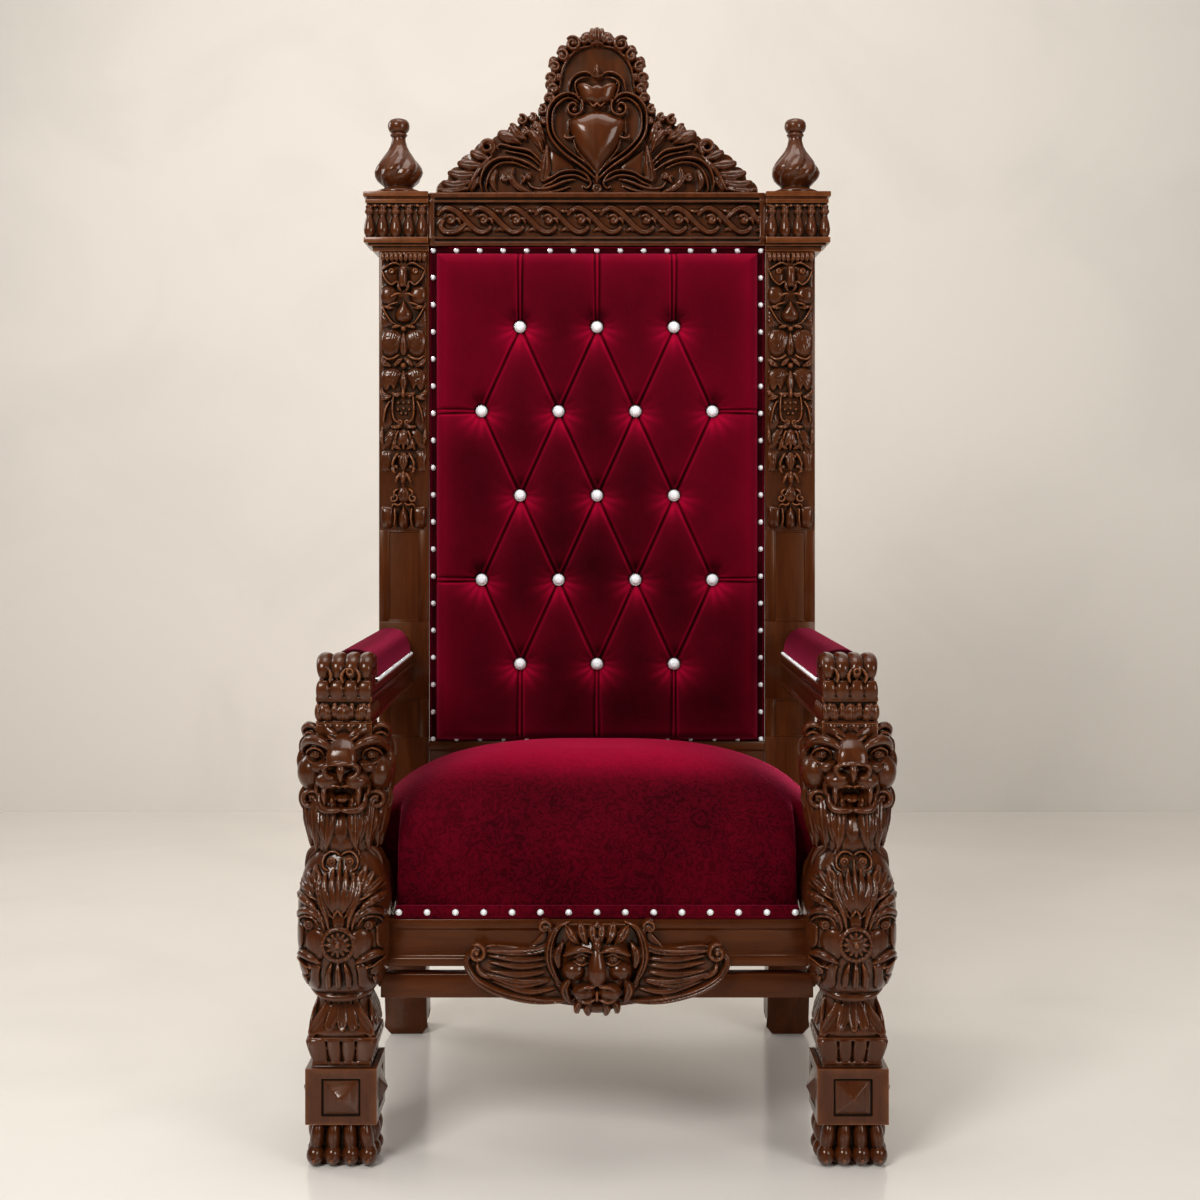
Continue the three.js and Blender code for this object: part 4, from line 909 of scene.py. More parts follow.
def build_uprights(context):
    back = BACK_Y + 70
    outline = [(BACK_Y + 3, 1389), (BACK_Y + 3, 225), *bezier((BACK_Y + 3, 225), (BACK_Y, 130), (296, 60), (304, 0))]
    outline += [(376, 0), *bezier((376, 0), (378, 40), (back, 110), (back, 225)), (back, 1389)]
    taper = ([0, 14, 228, 262, 1400], [28 / 44, 37 / 44, 37 / 44, 1, 1])
    core = board_from_side("upright", outline, (-44, 44), taper=taper)
    strips = []
    windows = [(535, 602), (738, 898)]
    bars = [(262, 535), (602, 738), (898, 1389)]
    for low, high in bars:
        strips.append(boxed("bar", (-44, 44), (BACK_Y, BACK_Y + 6), (low, high), 1.0))
    for low, high in windows:
        for side in (-1, 1):
            strips.append(boxed("rib", sorted((side * 28, side * 44)), (BACK_Y, BACK_Y + 6), (low - 1, high + 1),
                          1.0))
            strips.append(boxed("bead", sorted((side * 25.5, side * 28.5)), (BACK_Y + 1, BACK_Y + 6), (low, high),
                          0.8))
        for z in (low, high - 3):
            strips.append(boxed("bead", (-28, 28), (BACK_Y + 1, BACK_Y + 6), (z, z + 3), 0.8))
    upright = united("upright_left", [core, *strips])
    carving = carve("drop_left", drop(), grain=1.0, soften=2, triangles=70000, shade=0.0014)
    made = []
    for side in SIDES.values():
        if side < 0:
            twins = (copy_of(upright, "upright_right", (STILE_X, 0, 0)),
                     copy_of(carving, "drop_right", (STILE_X, 0, 0)))
            shift_mesh(upright, (-STILE_X, 0, 0))
            shift_mesh(carving, (-STILE_X, 0, 0))
            made += [(upright, "stile_left"), (carving, "stile_left")]
        else:
            made += [(twins[0], "stile_right"), (twins[1], "stile_right")]
    return made


# ------------------------------------------------------------------ capitals and finials


CAPITAL = {"inner": 295.9, "outer": 410.0, "front": 246.0, "back": 352.0}
FINIAL_X = 352.95
FINIAL_Y = 299.0


def build_capitals(context):
    inner, outer, front, back = CAPITAL.values()

    def layer(low, high, inset):
        return block((inner, outer - inset), (front + inset, back - inset), (low, high))

    shells = [layer(1389.3, 1400, 15), layer(1398, 1404, 8), layer(1403, 1413, 1), layer(1412, 1472, 12),
              layer(1468, 1473, 7), layer(1473, 1480, 3.5), layer(1480, 1485, 6), layer(1484, 1493, 0)]
    profile = [(0, 1412), (6.5, 1413), (6, 1415), (8.5, 1419), (9.6, 1427), (8, 1438), (5, 1449), (4.6, 1452),
               (7.5, 1456),
               (8.2, 1459), (6, 1463), (7, 1468), (0, 1470)]
    for i in range(5):
        x = outer - 10 - i * 23.2
        shells.append(turned(profile, centre=(max(x, inner + 9.8), front + 10)))
    for i in range(1, 5):
        shells.append(turned(profile, centre=(outer - 10, front + 10 + i * 21.5)))
    for i in range(4):
        shells.append(turned(profile, centre=(outer - 33 - i * 23.2, back - 10)))
    bead = [(0, 1466), (3, 1467), (3, 1470), (0, 1471)]
    for i in range(9):
        shells.append(turned(bead, 16, centre=(outer - 8 - i * 12.4, front + 7)))
    left = carve("carved_capital_right", shells, grain=1.15, soften=1, triangles=26000)
    twin = copy_of(left, "carved_capital_left", flip=True)
    return [(left, "capital_right"), (twin, "capital_left")]


def build_finials(context):
    base = RAIL_TOP + 0.3
    profile = [(0, 0), (41.5, 0), (42.5, 3), (42, 6), (38, 8), (33, 9.5), (27, 12), (25, 15), (27, 18)]
    bulb = [(25, 15), (31, 20), (37, 26), (41, 33), (42.5, 41), (40, 50), (34, 60), (26, 70), (19.5, 79), (15, 88),
            (12.4, 98),
            (12.2, 104), (14.5, 106), (15.5, 108.5), (13.5, 111), (12.5, 112)]
    ball_top = [(12.5, 112), (16.5, 114), (18.8, 119), (19.5, 124.5), (18.5, 130), (15, 134.5), (9, 137), (0, 138)]

    def gadroon(angle, z):
        up = z - base
        strength = np.clip((up - 16) / 10, 0, 1) * np.clip((92 - up) / 26, 0, 1)
        lobe = np.abs(np.cos(3.5 * (angle - up * 0.02)))
        return 1 + 0.11 * strength * (lobe - 0.75)

    shells = [turned([(r, base + z) for r, z in profile], 72),
              turned([(r, base + z) for r, z in bulb], 110, gadroon, 1.5),
              turned([(r, base + z) for r, z in ball_top], 60)]
    finial = carve("urn_left", shells, grain=1.0, soften=1, triangles=15000)
    twin = copy_of(finial, "urn_right", (FINIAL_X, FINIAL_Y, 0))
    shift_mesh(finial, (-FINIAL_X, FINIAL_Y, 0))
    return [(finial, "finial_left"), (twin, "finial_right")]


# ------------------------------------------------------------------ top rail and cresting


def build_top_rail(context):
    half, face = 295.4, 271
    shells = [block((-half, half), (face, BACK_Y + 65), (1399.3, 1492.6))]
    for low, high, front in ((1399.3, 1406, 259), (1406, 1411, 261.5), (1411, 1414.5, 258.3), (1475.5, 1479, 258.3),
                             (1479, 1484, 262), (1484, 1492.6, 258.6)):
        shells.append(block((-half, half), (front, face + 5), (low, high)))
    for side in (-1, 1):
        shells.append(block(sorted((side * 286, side * half)), (259, face + 5), (1400, 1490)))
    middle = 1445
    chain = [(-23, 8), (-16, 17), (-4, 21), (10, 15), (24, 2), (38, -12), (52, -21), (64, -19), (72, -11)]
    for i in range(10):
        x = (i - 4.5) * 57.4
        shells.append(strand([(x + a, face - 3 - 1.5 * math.sin(k), middle + b) for k, (a, b) in enumerate(chain)],
                      5.6, 9,
                             blunt=0.2, rib=0.3))
        eye = [(x + a, face - 3, middle + b) for a, b in curl((0, 0), 9.5, 150, -1.1, inner=0.2)]
        shells.append(strand(eye, 3.6, 9, blunt=0.15))
        shells.append(ball((x, face - 4, middle), (5.5, 8, 5.5)))
        tail = [(x + 6, face - 3, middle + 4), (x + 14, face - 4, middle + 1), (x + 18, face - 2, middle - 8)]
        shells.append(strand(tail, (3.5, 3.5, 1.5), 7))
        for a, b in ((28, 19), (30, -19)):
            path = [(x + a - 9, face - 1, middle + b), (x + a, face - 2, middle + b * 0.82),
                    (x + a + 8, face - 1, middle + b)]
            shells.append(strand(path, 3.4, 6, rib=0.4))
    ends = [((-12, 1), (-17, -11), (-8, -21), (12, -19), (30, -4)),
            ((-30, 4), (-12, 19), (8, 21), (17, 11), (12, -1))]
    for path, x in zip(ends, (-258.3, 258.3)):
        shells.append(strand([(x + a, face - 3, middle + b) for a, b in path], 5.6, 9, blunt=0.2, rib=0.3))
    rail = carve("top_rail_carving", shells, grain=1.15, soften=1, triangles=80000, shade=0.02)
    return [(rail, "top_rail")]


def crest_point(points, lift=3):
    return [(p[0], 280 - lift - (p[2] if len(p) > 2 else 0), RAIL_TOP + 0.3 + p[1]) for p in points]


def scallops(hollows, proud=0.5, count=7):
    """A lobed edge that bulges out between the hollows, as x, z points."""
    edge = []
    for (x0, z0), (x1, z1) in zip(hollows, hollows[1:]):
        t = np.linspace(0, 1, count, endpoint=False)
        out = np.array([z1 - z0, -(x1 - x0)]) * proud
        bow = 4 * t * (1 - t) * 0.5
        edge += list(zip(x0 + (x1 - x0) * t + out[0] * bow, z0 + (z1 - z0) * t + out[1] * bow))
    return [*edge, hollows[-1]]


def build_crest(context):
    base = RAIL_TOP + 0.3
    hollows = [(285, 0), (264, 26), (244, 50), (220, 72), (190, 92), (157, 101), (138, 122), (104, 138), (84, 166),
               (82, 191),
               (79, 214), (67, 238), (51, 258), (31, 276), (8, 287)]
    right = scallops(hollows)
    outline = [(x, base + z) for x, z in right] + [(-x, base + z) for x, z in right[::-1]]
    points, quads, n = plate(outline, (282, 304))
    middle = np.array([[0, 282, base + 100], [0, 304, base + 100]])
    points = np.vstack([points, np.repeat(middle, n, axis=0)])
    k = np.arange(n)
    nxt = (k + 1) % n
    caps = [np.stack([k, nxt, 2 * n + nxt, 2 * n + k], -1), np.stack([n + k, n + nxt, 3 * n + nxt, 3 * n + k], -1)]
    ground = (points, np.vstack([quads, *caps]))
    shells = []
    add = shells.append

    def trace(path, lift=3):
        return crest_point(path, lift)

    def volute(centre, radius, start, turns, width=4, depth=9, lift=4):
        add(strand(trace([(x, z, 1) for x, z in curl(centre, radius, start, turns)], lift), width, depth, blunt=0.2))
        add(ball(trace([centre], lift + 3)[0], (width, depth * 0.8, width)))

    def on_crest(x, z, lift=0.0):
        return (x, 280 - lift, base + z)

    # border curls of the hood, and the shell at its top
    for (x, z), r, start, turn in (((43, 264), 14, 40, 1.5), ((61, 243), 11, 20, 1.3), ((75, 223), 10, 0, 1.3),
                                   ((80, 203), 10, -10, 1.3), ((77, 184), 9, -30, 1.3), ((83, 168), 9, -40, 1.3)):
        volute((x, z), r, start, turn, 3.6, 10)
    for path in ([(52, 256), (62, 258, 2), (70, 248)], [(68, 236), (78, 238, 2), (85, 228)],
                 [(72, 212), (66, 206, 2), (70, 198)],
                 [(76, 192), (86, 196, 2), (90, 186)]):
        add(strand(trace(path, 4), (3, 5, 3), 8, rib=0.4))
    add(strand(trace([(67, 176), (64, 200), (60, 222), (47, 243), (28, 257), (4, 262)]), 2.6, 8))
    for x, z, w in ((9, 292, 6), (22, 283, 7.5)):
        add(strand(trace([(x * 0.4, 266), (x * 0.9, 278, 4), (x, z, 3)]), (3, w, w * 0.8), 9, rib=0.3, blunt=0.3))
    volute((24, 272), 8, 120, 1.2, 3.2, 9)
    # small shield with its crown and handles
    add(strand(trace([(6, 207), (18, 214, 3), (34, 211, 3), (46, 200, 3), (50, 184, 2), (52, 172)]), 2.5, 8,
        blunt=0.3))
    add(strand(trace([(14, 206), (28, 203, 3), (38, 196, 2), (38, 184), (30, 166)]), 2.0, 7, blunt=0.3))
    # heart frame: a double ridge that ends in a volute
    heart = [(30, 165), (40, 174), (55, 176), (72, 168), (84, 152), (88, 130), (83, 100), (60, 71), (24, 45), (2, 25)]
    add(strand(trace([(x, z) for x, z in heart], 7), (2.6, 3.0, 3.0, 2.8), 12, blunt=0.12))
    inner = [(33, 160), (42, 167), (54, 168), (66, 161), (76, 148), (79, 130), (75, 104), (54, 79), (21, 54), (2, 36)]
    add(strand(trace([(x, z) for x, z in inner], 4), (2.2, 2.4, 2.4, 2.2), 9, blunt=0.12))
    add(strand(trace([(28, 166), (25, 153), (29, 142), (40, 137), (50, 143), (50, 154), (42, 159), (35, 154)], 8),
        2.9, 11, blunt=0.2))
    add(ball(on_crest(40, 148, 6), (5.5, 6, 5.5)))
    # hook and outline of the main shield
    add(strand(trace([(50, 132), (50.5, 118), (50, 106)], 6), 1.8, 8, blunt=0.3))
    add(strand(trace([(55, 105), (57, 99), (48, 97), (38, 101)], 7), 2.6, 8, blunt=0.3))
    add(strand(trace([(42, 95), (34, 74), (12, 48), (2, 34)], 6), 1.8, 8, blunt=0.3))
    # drapery and the double ridge under the heart
    add(strand(trace([(88, 86), (90, 62, 3), (92, 42, 3), (97, 21)], 4), (4, 7, 11, 13), 11, reeds=4, reed=0.45,
        blunt=0.3))
    add(pebble([(82, 78), (58, 62), (40, 46), (62, 40), (84, 28), (86, 52)], 5, on_crest))
    for rise, width in ((0, 2.6), (-9, 2.4)):
        path = [(99, 21 + rise), (80, 29 + rise), (64, 38 + rise), (40, 41 + rise), (20, 33 + rise), (11, 18),
                (18, 9), (25, 14)]
        add(strand(trace(path, 5 + rise * 0.2), width, 9, blunt=0.2))
    add(strand(trace([(123, 22), (114, 11), (98, 8), (82, 11), (58, 21), (38, 26)], 3), 3.2, 9, blunt=0.3))
    add(strand(trace([(112, 4), (90, 2), (66, 6), (46, 14)], 2), 3, 7, blunt=0.3))
    # long scrolls to the side
    add(strand(trace([(94, 50), (108, 66), (122, 76), (149, 81), (168, 86), (176, 82), (172, 76)], 6), 2.6, 10,
        blunt=0.25))
    add(strand(trace([(94, 42), (108, 57), (124, 67), (150, 73), (166, 76)], 4), 2.2, 8, blunt=0.3))
    add(strand(trace([(96, 36), (122, 53), (150, 62), (178, 60), (198, 44), (206, 20), (202, 2)], 7), 2.9, 11,
        blunt=0.25))
    add(strand(trace([(120, 44), (148, 54), (174, 51), (190, 34), (196, 12), (194, 2)], 5), 2.5, 9, blunt=0.25))
    add(strand(trace([(176, 44), (184, 26, 2), (182, 10), (176, 2)], 4), (4, 6, 6, 4), 9, reeds=2, reed=0.4))
    # small leaves and curls in the hollow
    add(strand(trace([(146, 48), (151, 34, 2), (148, 20, 3), (134, 8, 2), (114, 2)], 4), (3, 6, 7, 4), 10, reeds=3,
        reed=0.4))
    add(strand(trace([(134, 34), (128, 26, 2), (134, 18)], 3), (2, 4, 3), 8))
    volute((163, 27), 7.5, 60, 1.3, 2.6, 9)
    volute((120, 30), 6, 140, -1.2, 2.4, 8)
    # outer leaf: lobes over a rib
    for path, wide in (([(190, 62), (206, 66, 3), (224, 74, 1)], 9), ([(196, 50), (222, 50, 3), (247, 54, 1)], 9.5),
                       ([(204, 36), (236, 32, 3), (264, 37, 1)], 9.5), ([(214, 24), (248, 15, 3), (275, 20, 1)], 9),
                       ([(224, 10), (256, 4, 3), (283, 6, 1)], 6.5)):
        add(strand(trace(path, 4), (4, wide, wide * 0.85), 10, reeds=4, reed=0.35, blunt=0.3))
    add(strand(trace([(184, 68), (206, 44, 2), (220, 22, 2), (230, 3)], 7), (3, 4.5, 4, 3), 10, reeds=2, reed=0.4))
    add(strand(trace([(206, 32), (218, 16, 2), (222, 2)], 4), (4, 7, 5), 9, reeds=3, reed=0.4))
    # knobs and fans up the slope
    add(strand(trace([(x, z, 1) for x, z in curl((194, 82), 13.5, 250, -1.5, inner=0.35, count=18)], 5),
        (5, 5.4, 4, 3), 10, blunt=0.25))
    add(strand(trace([(134, 88), (152, 98, 3), (176, 106, 2)], 4), (4, 12, 11), 11, reeds=5, reed=0.35, blunt=0.3))
    add(strand(trace([(124, 96), (140, 104, 3), (152, 120, 2)], 4), (4, 9, 9), 11, reeds=2, reed=0.3, blunt=0.3))
    add(strand(trace([(96, 72), (104, 92, 3), (120, 112, 2)], 5), (3, 9, 10), 11, reeds=5, reed=0.4, blunt=0.3))
    add(strand(trace([(92, 92), (100, 108, 3), (106, 128, 2)], 4), (3, 7, 6), 10, reeds=3, reed=0.4))
    for x, z, r in ((133, 130, 10), (150, 114, 9), (114, 134, 8), (97, 148, 9), (110, 120, 6), (95, 128, 6),
                    (128, 110, 7)):
        volute((x, z), r, 60, 1.2, 3.2, 9)

    def whole(outline, thick, **form):
        return pebble([*outline, *[(-a, b) for a, b in outline[::-1]]], thick, on_crest, columns=72, rows=19, **form)

    shield = [
        whole([(1, 148), (24, 141), (47, 132), (49, 117), (45, 104), (39, 90), (29, 72), (11, 48), (2, 35)], 24,
              puff=0.9),
        whole([(1, 195), (12, 191), (24, 197), (35, 194), (32, 180), (24, 163), (10, 159), (2, 154)], 17, puff=0.8),
        strand(trace([(0, 226, 4), (0, 216, 8), (0, 204, 4)], 4), (3, 6, 7), 9, blunt=0.3),
        strand(trace([(-10, 208, 4), (0, 204, 6), (10, 208, 4)], 4), 2.6, 7),
        strand(trace([(-14, 160, 6), (-6, 152, 9), (0, 157, 10), (6, 152, 9), (14, 160, 6)], 4), 2.6, 7),
        strand(trace([(0, 260), (0, 276, 5), (0, 293, 2)], 4), (5, 8, 6), 11, rib=0.4, blunt=0.3),
        strand(trace([(-12, 262), (0, 266, 4), (12, 262)], 4), 3.4, 8),
        ring_of(on_crest(0, 9, 7), 6.5, 2.4, columns=8),
        ball(on_crest(0, 9, 5), (3, 6, 3)),
        strand(trace([(0, 36, 4), (0, 26, 6), (0, 16, 4)], 3), (2.4, 4, 3), 9),
    ]
    crest = carve("cresting", [ground, *both(shells), *shield], grain=1.2, soften=2, triangles=150000, shade=0.03)
    return [(crest, "crest")]


# ------------------------------------------------------------------ apron


def apron_point(points, lift=4):
    return [(p[0], -305.5 - lift - (p[2] if len(p) > 2 else 0), p[1]) for p in points]


def build_apron(context):
    shells = []
    add = shells.append
    outline = [(18, 222), (60, 228), (108, 238), (152, 254), (182, 280), (182, 306), (150, 312), (96, 308),
               (78, 328), (46, 342),
               (18, 342)]
    edge = [(x, z) for x, z in outline] + [(-x, z) for x, z in outline[::-1]]
    points, quads, n = plate(edge, (-313, -305.4))
    middle = np.array([[0, -313, 282], [0, -305.4, 282]])
    points = np.vstack([points, np.repeat(middle, n, axis=0)])
    k = np.arange(n)
    nxt = (k + 1) % n
    ground = (points, np.vstack([quads, np.stack([k, nxt, 2 * n + nxt, 2 * n + k], -1),
              np.stack([n + k, n + nxt, 3 * n + nxt, 3 * n + k], -1)]))

    def trace(path, lift=5):
        return apron_point(path, lift)

    def volute(centre, radius, start, turns, width=4, depth=9, lift=6):
        add(strand(trace([(x, z, 1) for x, z in curl(centre, radius, start, turns)], lift), width, depth, blunt=0.2))
        add(ball(trace([centre], lift + 3)[0], (width, depth * 0.8, width)))

    # wings
    add(strand(trace([(30, 236), (66, 232), (103, 235), (143, 246), (174, 264), (187, 288), (178, 306)], 6),
        (4, 6.5, 6.5, 6), 12,
               blunt=0.2, rib=0.3))
    volute((172, 301), 13, 60, 1.3, 4.6, 11, 6)
    add(strand(trace([(74, 344), (66, 330), (69, 314), (84, 305), (115, 302), (158, 304)], 6), (4.5, 6, 6, 4), 12,
        blunt=0.2, rib=0.3))
    volute((75, 339), 9, 200, -1.3, 4, 11, 6)
    for z0, z1, z2 in ((293, 294, 297), (284, 284, 288), (274, 272, 276)):
        add(strand(trace([(72, z0), (112, z1 - 2, 3), (156, z2, 1)], 5), (5, 5.6, 3), 8, blunt=0.3))
    add(strand(trace([(66, 262), (112, 258, 4), (164, 272, 1)], 5), (6, 8, 4), 9, blunt=0.3, rib=0.3))
    add(strand(trace([(58, 250), (100, 246, 3), (150, 260, 1)], 5), (4, 5.5, 3), 8, blunt=0.3))
    add(strand(trace([(150, 262), (168, 274, 2), (172, 288)], 5), (4, 5, 4), 8))
    # ribbons beside the face
    add(strand(trace([(38, 346), (56, 338, 3), (66, 318, 4), (68, 292, 4), (58, 266, 3), (44, 250)], 6),
        (4, 6, 7, 6, 4), 13, rib=0.35))
    add(strand(trace([(46, 240), (52, 252, 2), (60, 262, 2)], 6), 4.5, 10))
    # face
    add(strand(trace([(4, 309, 38), (16, 314, 38), (32, 312, 34), (48, 302, 22)], 5), (3, 5, 5, 3), 9))
    add(ball((22, -337, 299), (8.6, 8, 6.6)))
    add(strand(trace([(11, 302, 30), (22, 307, 33), (34, 300, 27)], 5), 2.3, 5))
    add(strand(trace([(11, 295, 30), (22, 291, 32), (34, 296, 27)], 5), 2.2, 5))
    add(ball((32, -332, 281), (17, 15, 14)))
    add(ball((18, -341, 253), (17, 15, 12)))
    add(strand(trace([(2, 262, 42), (16, 262, 42), (30, 256, 36)], 5), 3.2, 6))
    add(strand(trace([(2, 243, 36), (18, 240, 35), (33, 248, 26)], 5), 3.5, 7))
    add(ball((13, -350, 260), (6.5, 5, 4.8)))
    add(strand(trace([(38, 268, 16), (46, 252, 14), (38, 232, 14)], 5), (5, 8, 5), 11, reeds=2))
    add(strand(trace([(8, 238, 22), (14, 228, 22), (12, 216, 10)], 5), (5, 6, 4), 10, reeds=2))
    add(strand(trace([(20, 238, 18), (28, 228, 18), (28, 220, 8)], 5), (5, 6, 4), 10, reeds=2))
    for x, z, w in ((6, 334, 7), (20, 338, 8), (36, 332, 8)):
        add(strand(trace([(x * 0.7, 318, 24), (x, 330, 22), (x * 1.2, z + 8, 8)], 5), (4, w, 4), 10, reeds=2))
    add(strand(trace([(48, 318, 10), (56, 302, 12), (54, 280, 10)], 5), (4, 7, 5), 10, reeds=2))
    face = [
        ball((0, -308, 286), (54, 34, 50), 21, 32),
        strand(trace([(0, 322, 30), (0, 300, 36), (0, 280, 41), (0, 262, 42)], 2), (8, 10, 14, 15), (10, 11, 12, 9),
            blunt=0.3),
        strand(trace([(0, 328, 26), (0, 318, 33), (0, 306, 34)], 4), (4, 7, 3), 7),
        ball((0, -318, 229), (27, 20, 12)),
        ball((0, -322, 342), (6, 8, 6)),
        strand(trace([(0, 256, 42), (0, 248, 40), (0, 240, 34)], 4), 2.4, 5),
    ]
    apron = carve("apron_carving", [ground, *both(shells), *face], grain=1.1, soften=2, triangles=120000)
    return [(apron, "apron_mask")]


# ------------------------------------------------------------------ plain rails and boards


def eased_copy(node, bevel=1.4):
    """A copy of a solid with its loose corners merged and its edges eased."""
    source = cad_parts[node]
    piece = source.copy()
    piece.data = source.data.copy()
    piece.parent = None
    for key in [k for k in piece.keys() if k.startswith("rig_")]:
        del piece[key]
    piece.name = piece.data.name = node + "_eased"
    piece.hide_render = piece.hide_viewport = False
    bpy.context.scene.collection.objects.link(piece)
    only(piece)
    bpy.ops.object.mode_set(mode="EDIT")
    bpy.ops.mesh.select_all(action="SELECT")
    bpy.ops.mesh.remove_doubles(threshold=0.00002)
    bpy.ops.mesh.dissolve_limited(angle_limit=math.radians(1))
    bpy.ops.object.mode_set(mode="OBJECT")
    finish_modifier(piece, "BEVEL", width=bevel / 1000, segments=2, limit_method="ANGLE",
                    angle_limit=math.radians(35))
    bpy.ops.object.shade_smooth_by_angle(angle=math.radians(35))
    return piece


RAILS = ["seat_rail_left", "seat_rail_right", "lower_rail_left", "lower_rail_right", "seat_rail_front",
         "lower_rail_front", "seat_rail_back", "lower_rail_back", "back_lower_rail", "back_panel"]


def build_rails(context):
    return [(eased_copy(node), node) for node in RAILS]


# ------------------------------------------------------------------ velvet


PAD = {"half": 282.5, "low": 530.5, "high": 1386.5, "crown": 233.5}
ACROSS = 67.3
UP = 73.7
MIDDLE_Z = 960.0


def button_places():
    """Places of the tufting buttons, x and z: rows of three and four in turn."""
    places = []
    for row in (2, 1, 0, -1, -2):
        count = 3 if row % 2 == 0 else 4
        places += [((i - (count - 1) / 2) * 2 * ACROSS, MIDDLE_Z + row * 2 * UP) for i in range(count)]
    return places


def fold_lines():
    """Folds between the buttons: diamonds, then pleats to the edges. Each is two ends and a kind."""
    rows = {}
    for x, z in button_places():
        rows.setdefault(round(z, 1), []).append(x)
    heights = sorted(rows)
    folds, pleats = [], []
    for low, high in zip(heights, heights[1:]):
        for a in rows[low]:
            for b in rows[high]:
                if abs(abs(a - b) - ACROSS) < 1:
                    folds.append((a, low, b, high))
    for x in rows[heights[-1]]:
        pleats.append((x, heights[-1], x, PAD["high"] + 6))
    for x in rows[heights[0]]:
        pleats.append((x, heights[0], x, PAD["low"] - 6))
    for z in heights:
        if len(rows[z]) == 4:
            for side in (-1, 1):
                pleats.append((side * 3 * ACROSS, z, side * (PAD["half"] + 6), z))
    return folds, pleats


def to_segment(x, z, line):
    """Distance to a segment, share of the way along it, and the signed side distance."""
    x0, z0, x1, z1 = line
    dx, dz = x1 - x0, z1 - z0
    long2 = dx * dx + dz * dz
    t = np.clip(((x - x0) * dx + (z - z0) * dz) / long2, 0, 1)
    side = ((x - x0) * dz - (z - z0) * dx) / math.sqrt(long2)
    return np.hypot(x - x0 - t * dx, z - z0 - t * dz), t, side


def pad_depth(x, z):
    """How far the tufted velvet is pulled in behind its crown, in millimetres."""
    folds, pleats = fold_lines()
    near = np.full_like(x, 1e9)
    crease = np.zeros_like(x)
    for line in folds:
        d, t, side = to_segment(x, z, line)
        near = np.minimum(near, d)
        bow = 0.6 + 0.4 * np.abs(2 * t - 1)
        crease = np.maximum(crease, 6.0 * bow * np.exp(-((np.abs(side - 1.2) / 2.3) ** 1.5)) * (d < np.abs(side) + 0.5))
    for line in pleats:
        d, t, side = to_segment(x, z, line)
        near = np.minimum(near, d + 6)
        spread_out = 2.8 + 1.6 * t
        for shift in (-1, 1):
            line_at = np.abs(side - shift * spread_out)
            crease = np.maximum(crease, 5.0 * np.exp(-((line_at / 2.1) ** 1.5)) * (d < np.abs(side) + 0.5))
    pillow = 9.5 * np.exp(-near / 18.0)
    dimple = np.zeros_like(x)
    pucker = np.zeros_like(x)
    for bx, bz in button_places():
        r = np.hypot(x - bx, z - bz)
        dimple = np.maximum(dimple, 12.5 * np.exp(-((np.maximum(r - 8.5, 0) / 14.0) ** 1.2)))
        angle = np.arctan2(z - bz, x - bx)
        rays = np.cos(13 * angle + 3 * np.sin(bx + bz)) * np.exp(-(((r - 22) / 12.0) ** 2))
        pucker += 0.7 * rays
    return pillow * (1 - 0.35 * (dimple / 12.5)) + dimple + crease + pucker


def build_back_pad(context):
    half, low, high, crown = PAD["half"], PAD["low"], PAD["high"], PAD["crown"]
    step = 2.0
    columns, rows = int(2 * half / step), int((high - low) / step)
    # closer rows at the rounded edge
    u = np.linspace(-1, 1, columns)
    v = np.linspace(-1, 1, rows)
    u = np.sign(u) * (1 - (1 - np.abs(u)) ** 1.12)
    v = np.sign(v) * (1 - (1 - np.abs(v)) ** 1.12)
    x, z = np.meshgrid(u * half, (low + high) / 2 + v * (high - low) / 2)
    edge = np.minimum(half - np.abs(x), np.minimum(z - low, high - z)).clip(0)
    round_over = 27.0 * (1 - np.minimum(edge / 21.0, 1)) ** 2.6
    soft = 6.5 * np.exp(-edge / 30.0)
    waver = np.sin(x * 0.031 + 1.3) * np.sin(z * 0.027) + 0.6 * np.sin(x * 0.052 - z * 0.038 + 0.7)
    inside = np.minimum(edge / 18.0, 1)
    y = crown + pad_depth(x, z) * (0.35 + 0.65 * inside) + round_over + soft + 0.5 * waver * inside
    y = np.minimum(y, 267.0)
    front = np.stack([x, y, z], -1).reshape(-1, 3)
    grid = np.arange(rows * columns).reshape(rows, columns)
    quads = np.stack([grid[:-1, :-1], grid[:-1, 1:], grid[1:, 1:], grid[1:, :-1]], -1).reshape(-1, 4)
    rim = np.concatenate([grid[0, :], grid[1:, -1], grid[-1, -2::-1], grid[-2:0:-1, 0]])
    back = front[rim] * [1, 0, 1] + [0, 289, 0]
    count = len(front)
    k = np.arange(len(rim))
    nxt = (k + 1) % len(rim)
    skirt_quads = np.stack([rim[nxt], rim[k], count + k, count + nxt], -1)
    middle = np.tile([[0.0, 289.0, (low + high) / 2]], (len(rim), 1))
    cap = np.stack([count + nxt, count + k, count + len(rim) + k, count + len(rim) + nxt], -1)
    cushion = show("back_cushion", np.vstack([front, back, middle]), np.vstack([quads, skirt_quads, cap]))
    border = boxed("border", (-295.4, 295.4), (268.2, 303.8), (527.8, 1398.5), 1.2)
    piping = []
    for path in border_loop():
        piping.append(strand(path, 2.2, 2.6, blunt=0.05, sides=12))
    cord = show("cord", *gather(piping))
    pad = united("tufted_back", [cushion, border, cord])
    only(pad)
    bpy.ops.object.shade_smooth_by_angle(angle=math.radians(60))
    paint_pad_light(pad)
    return [(pad, "back_pad")]


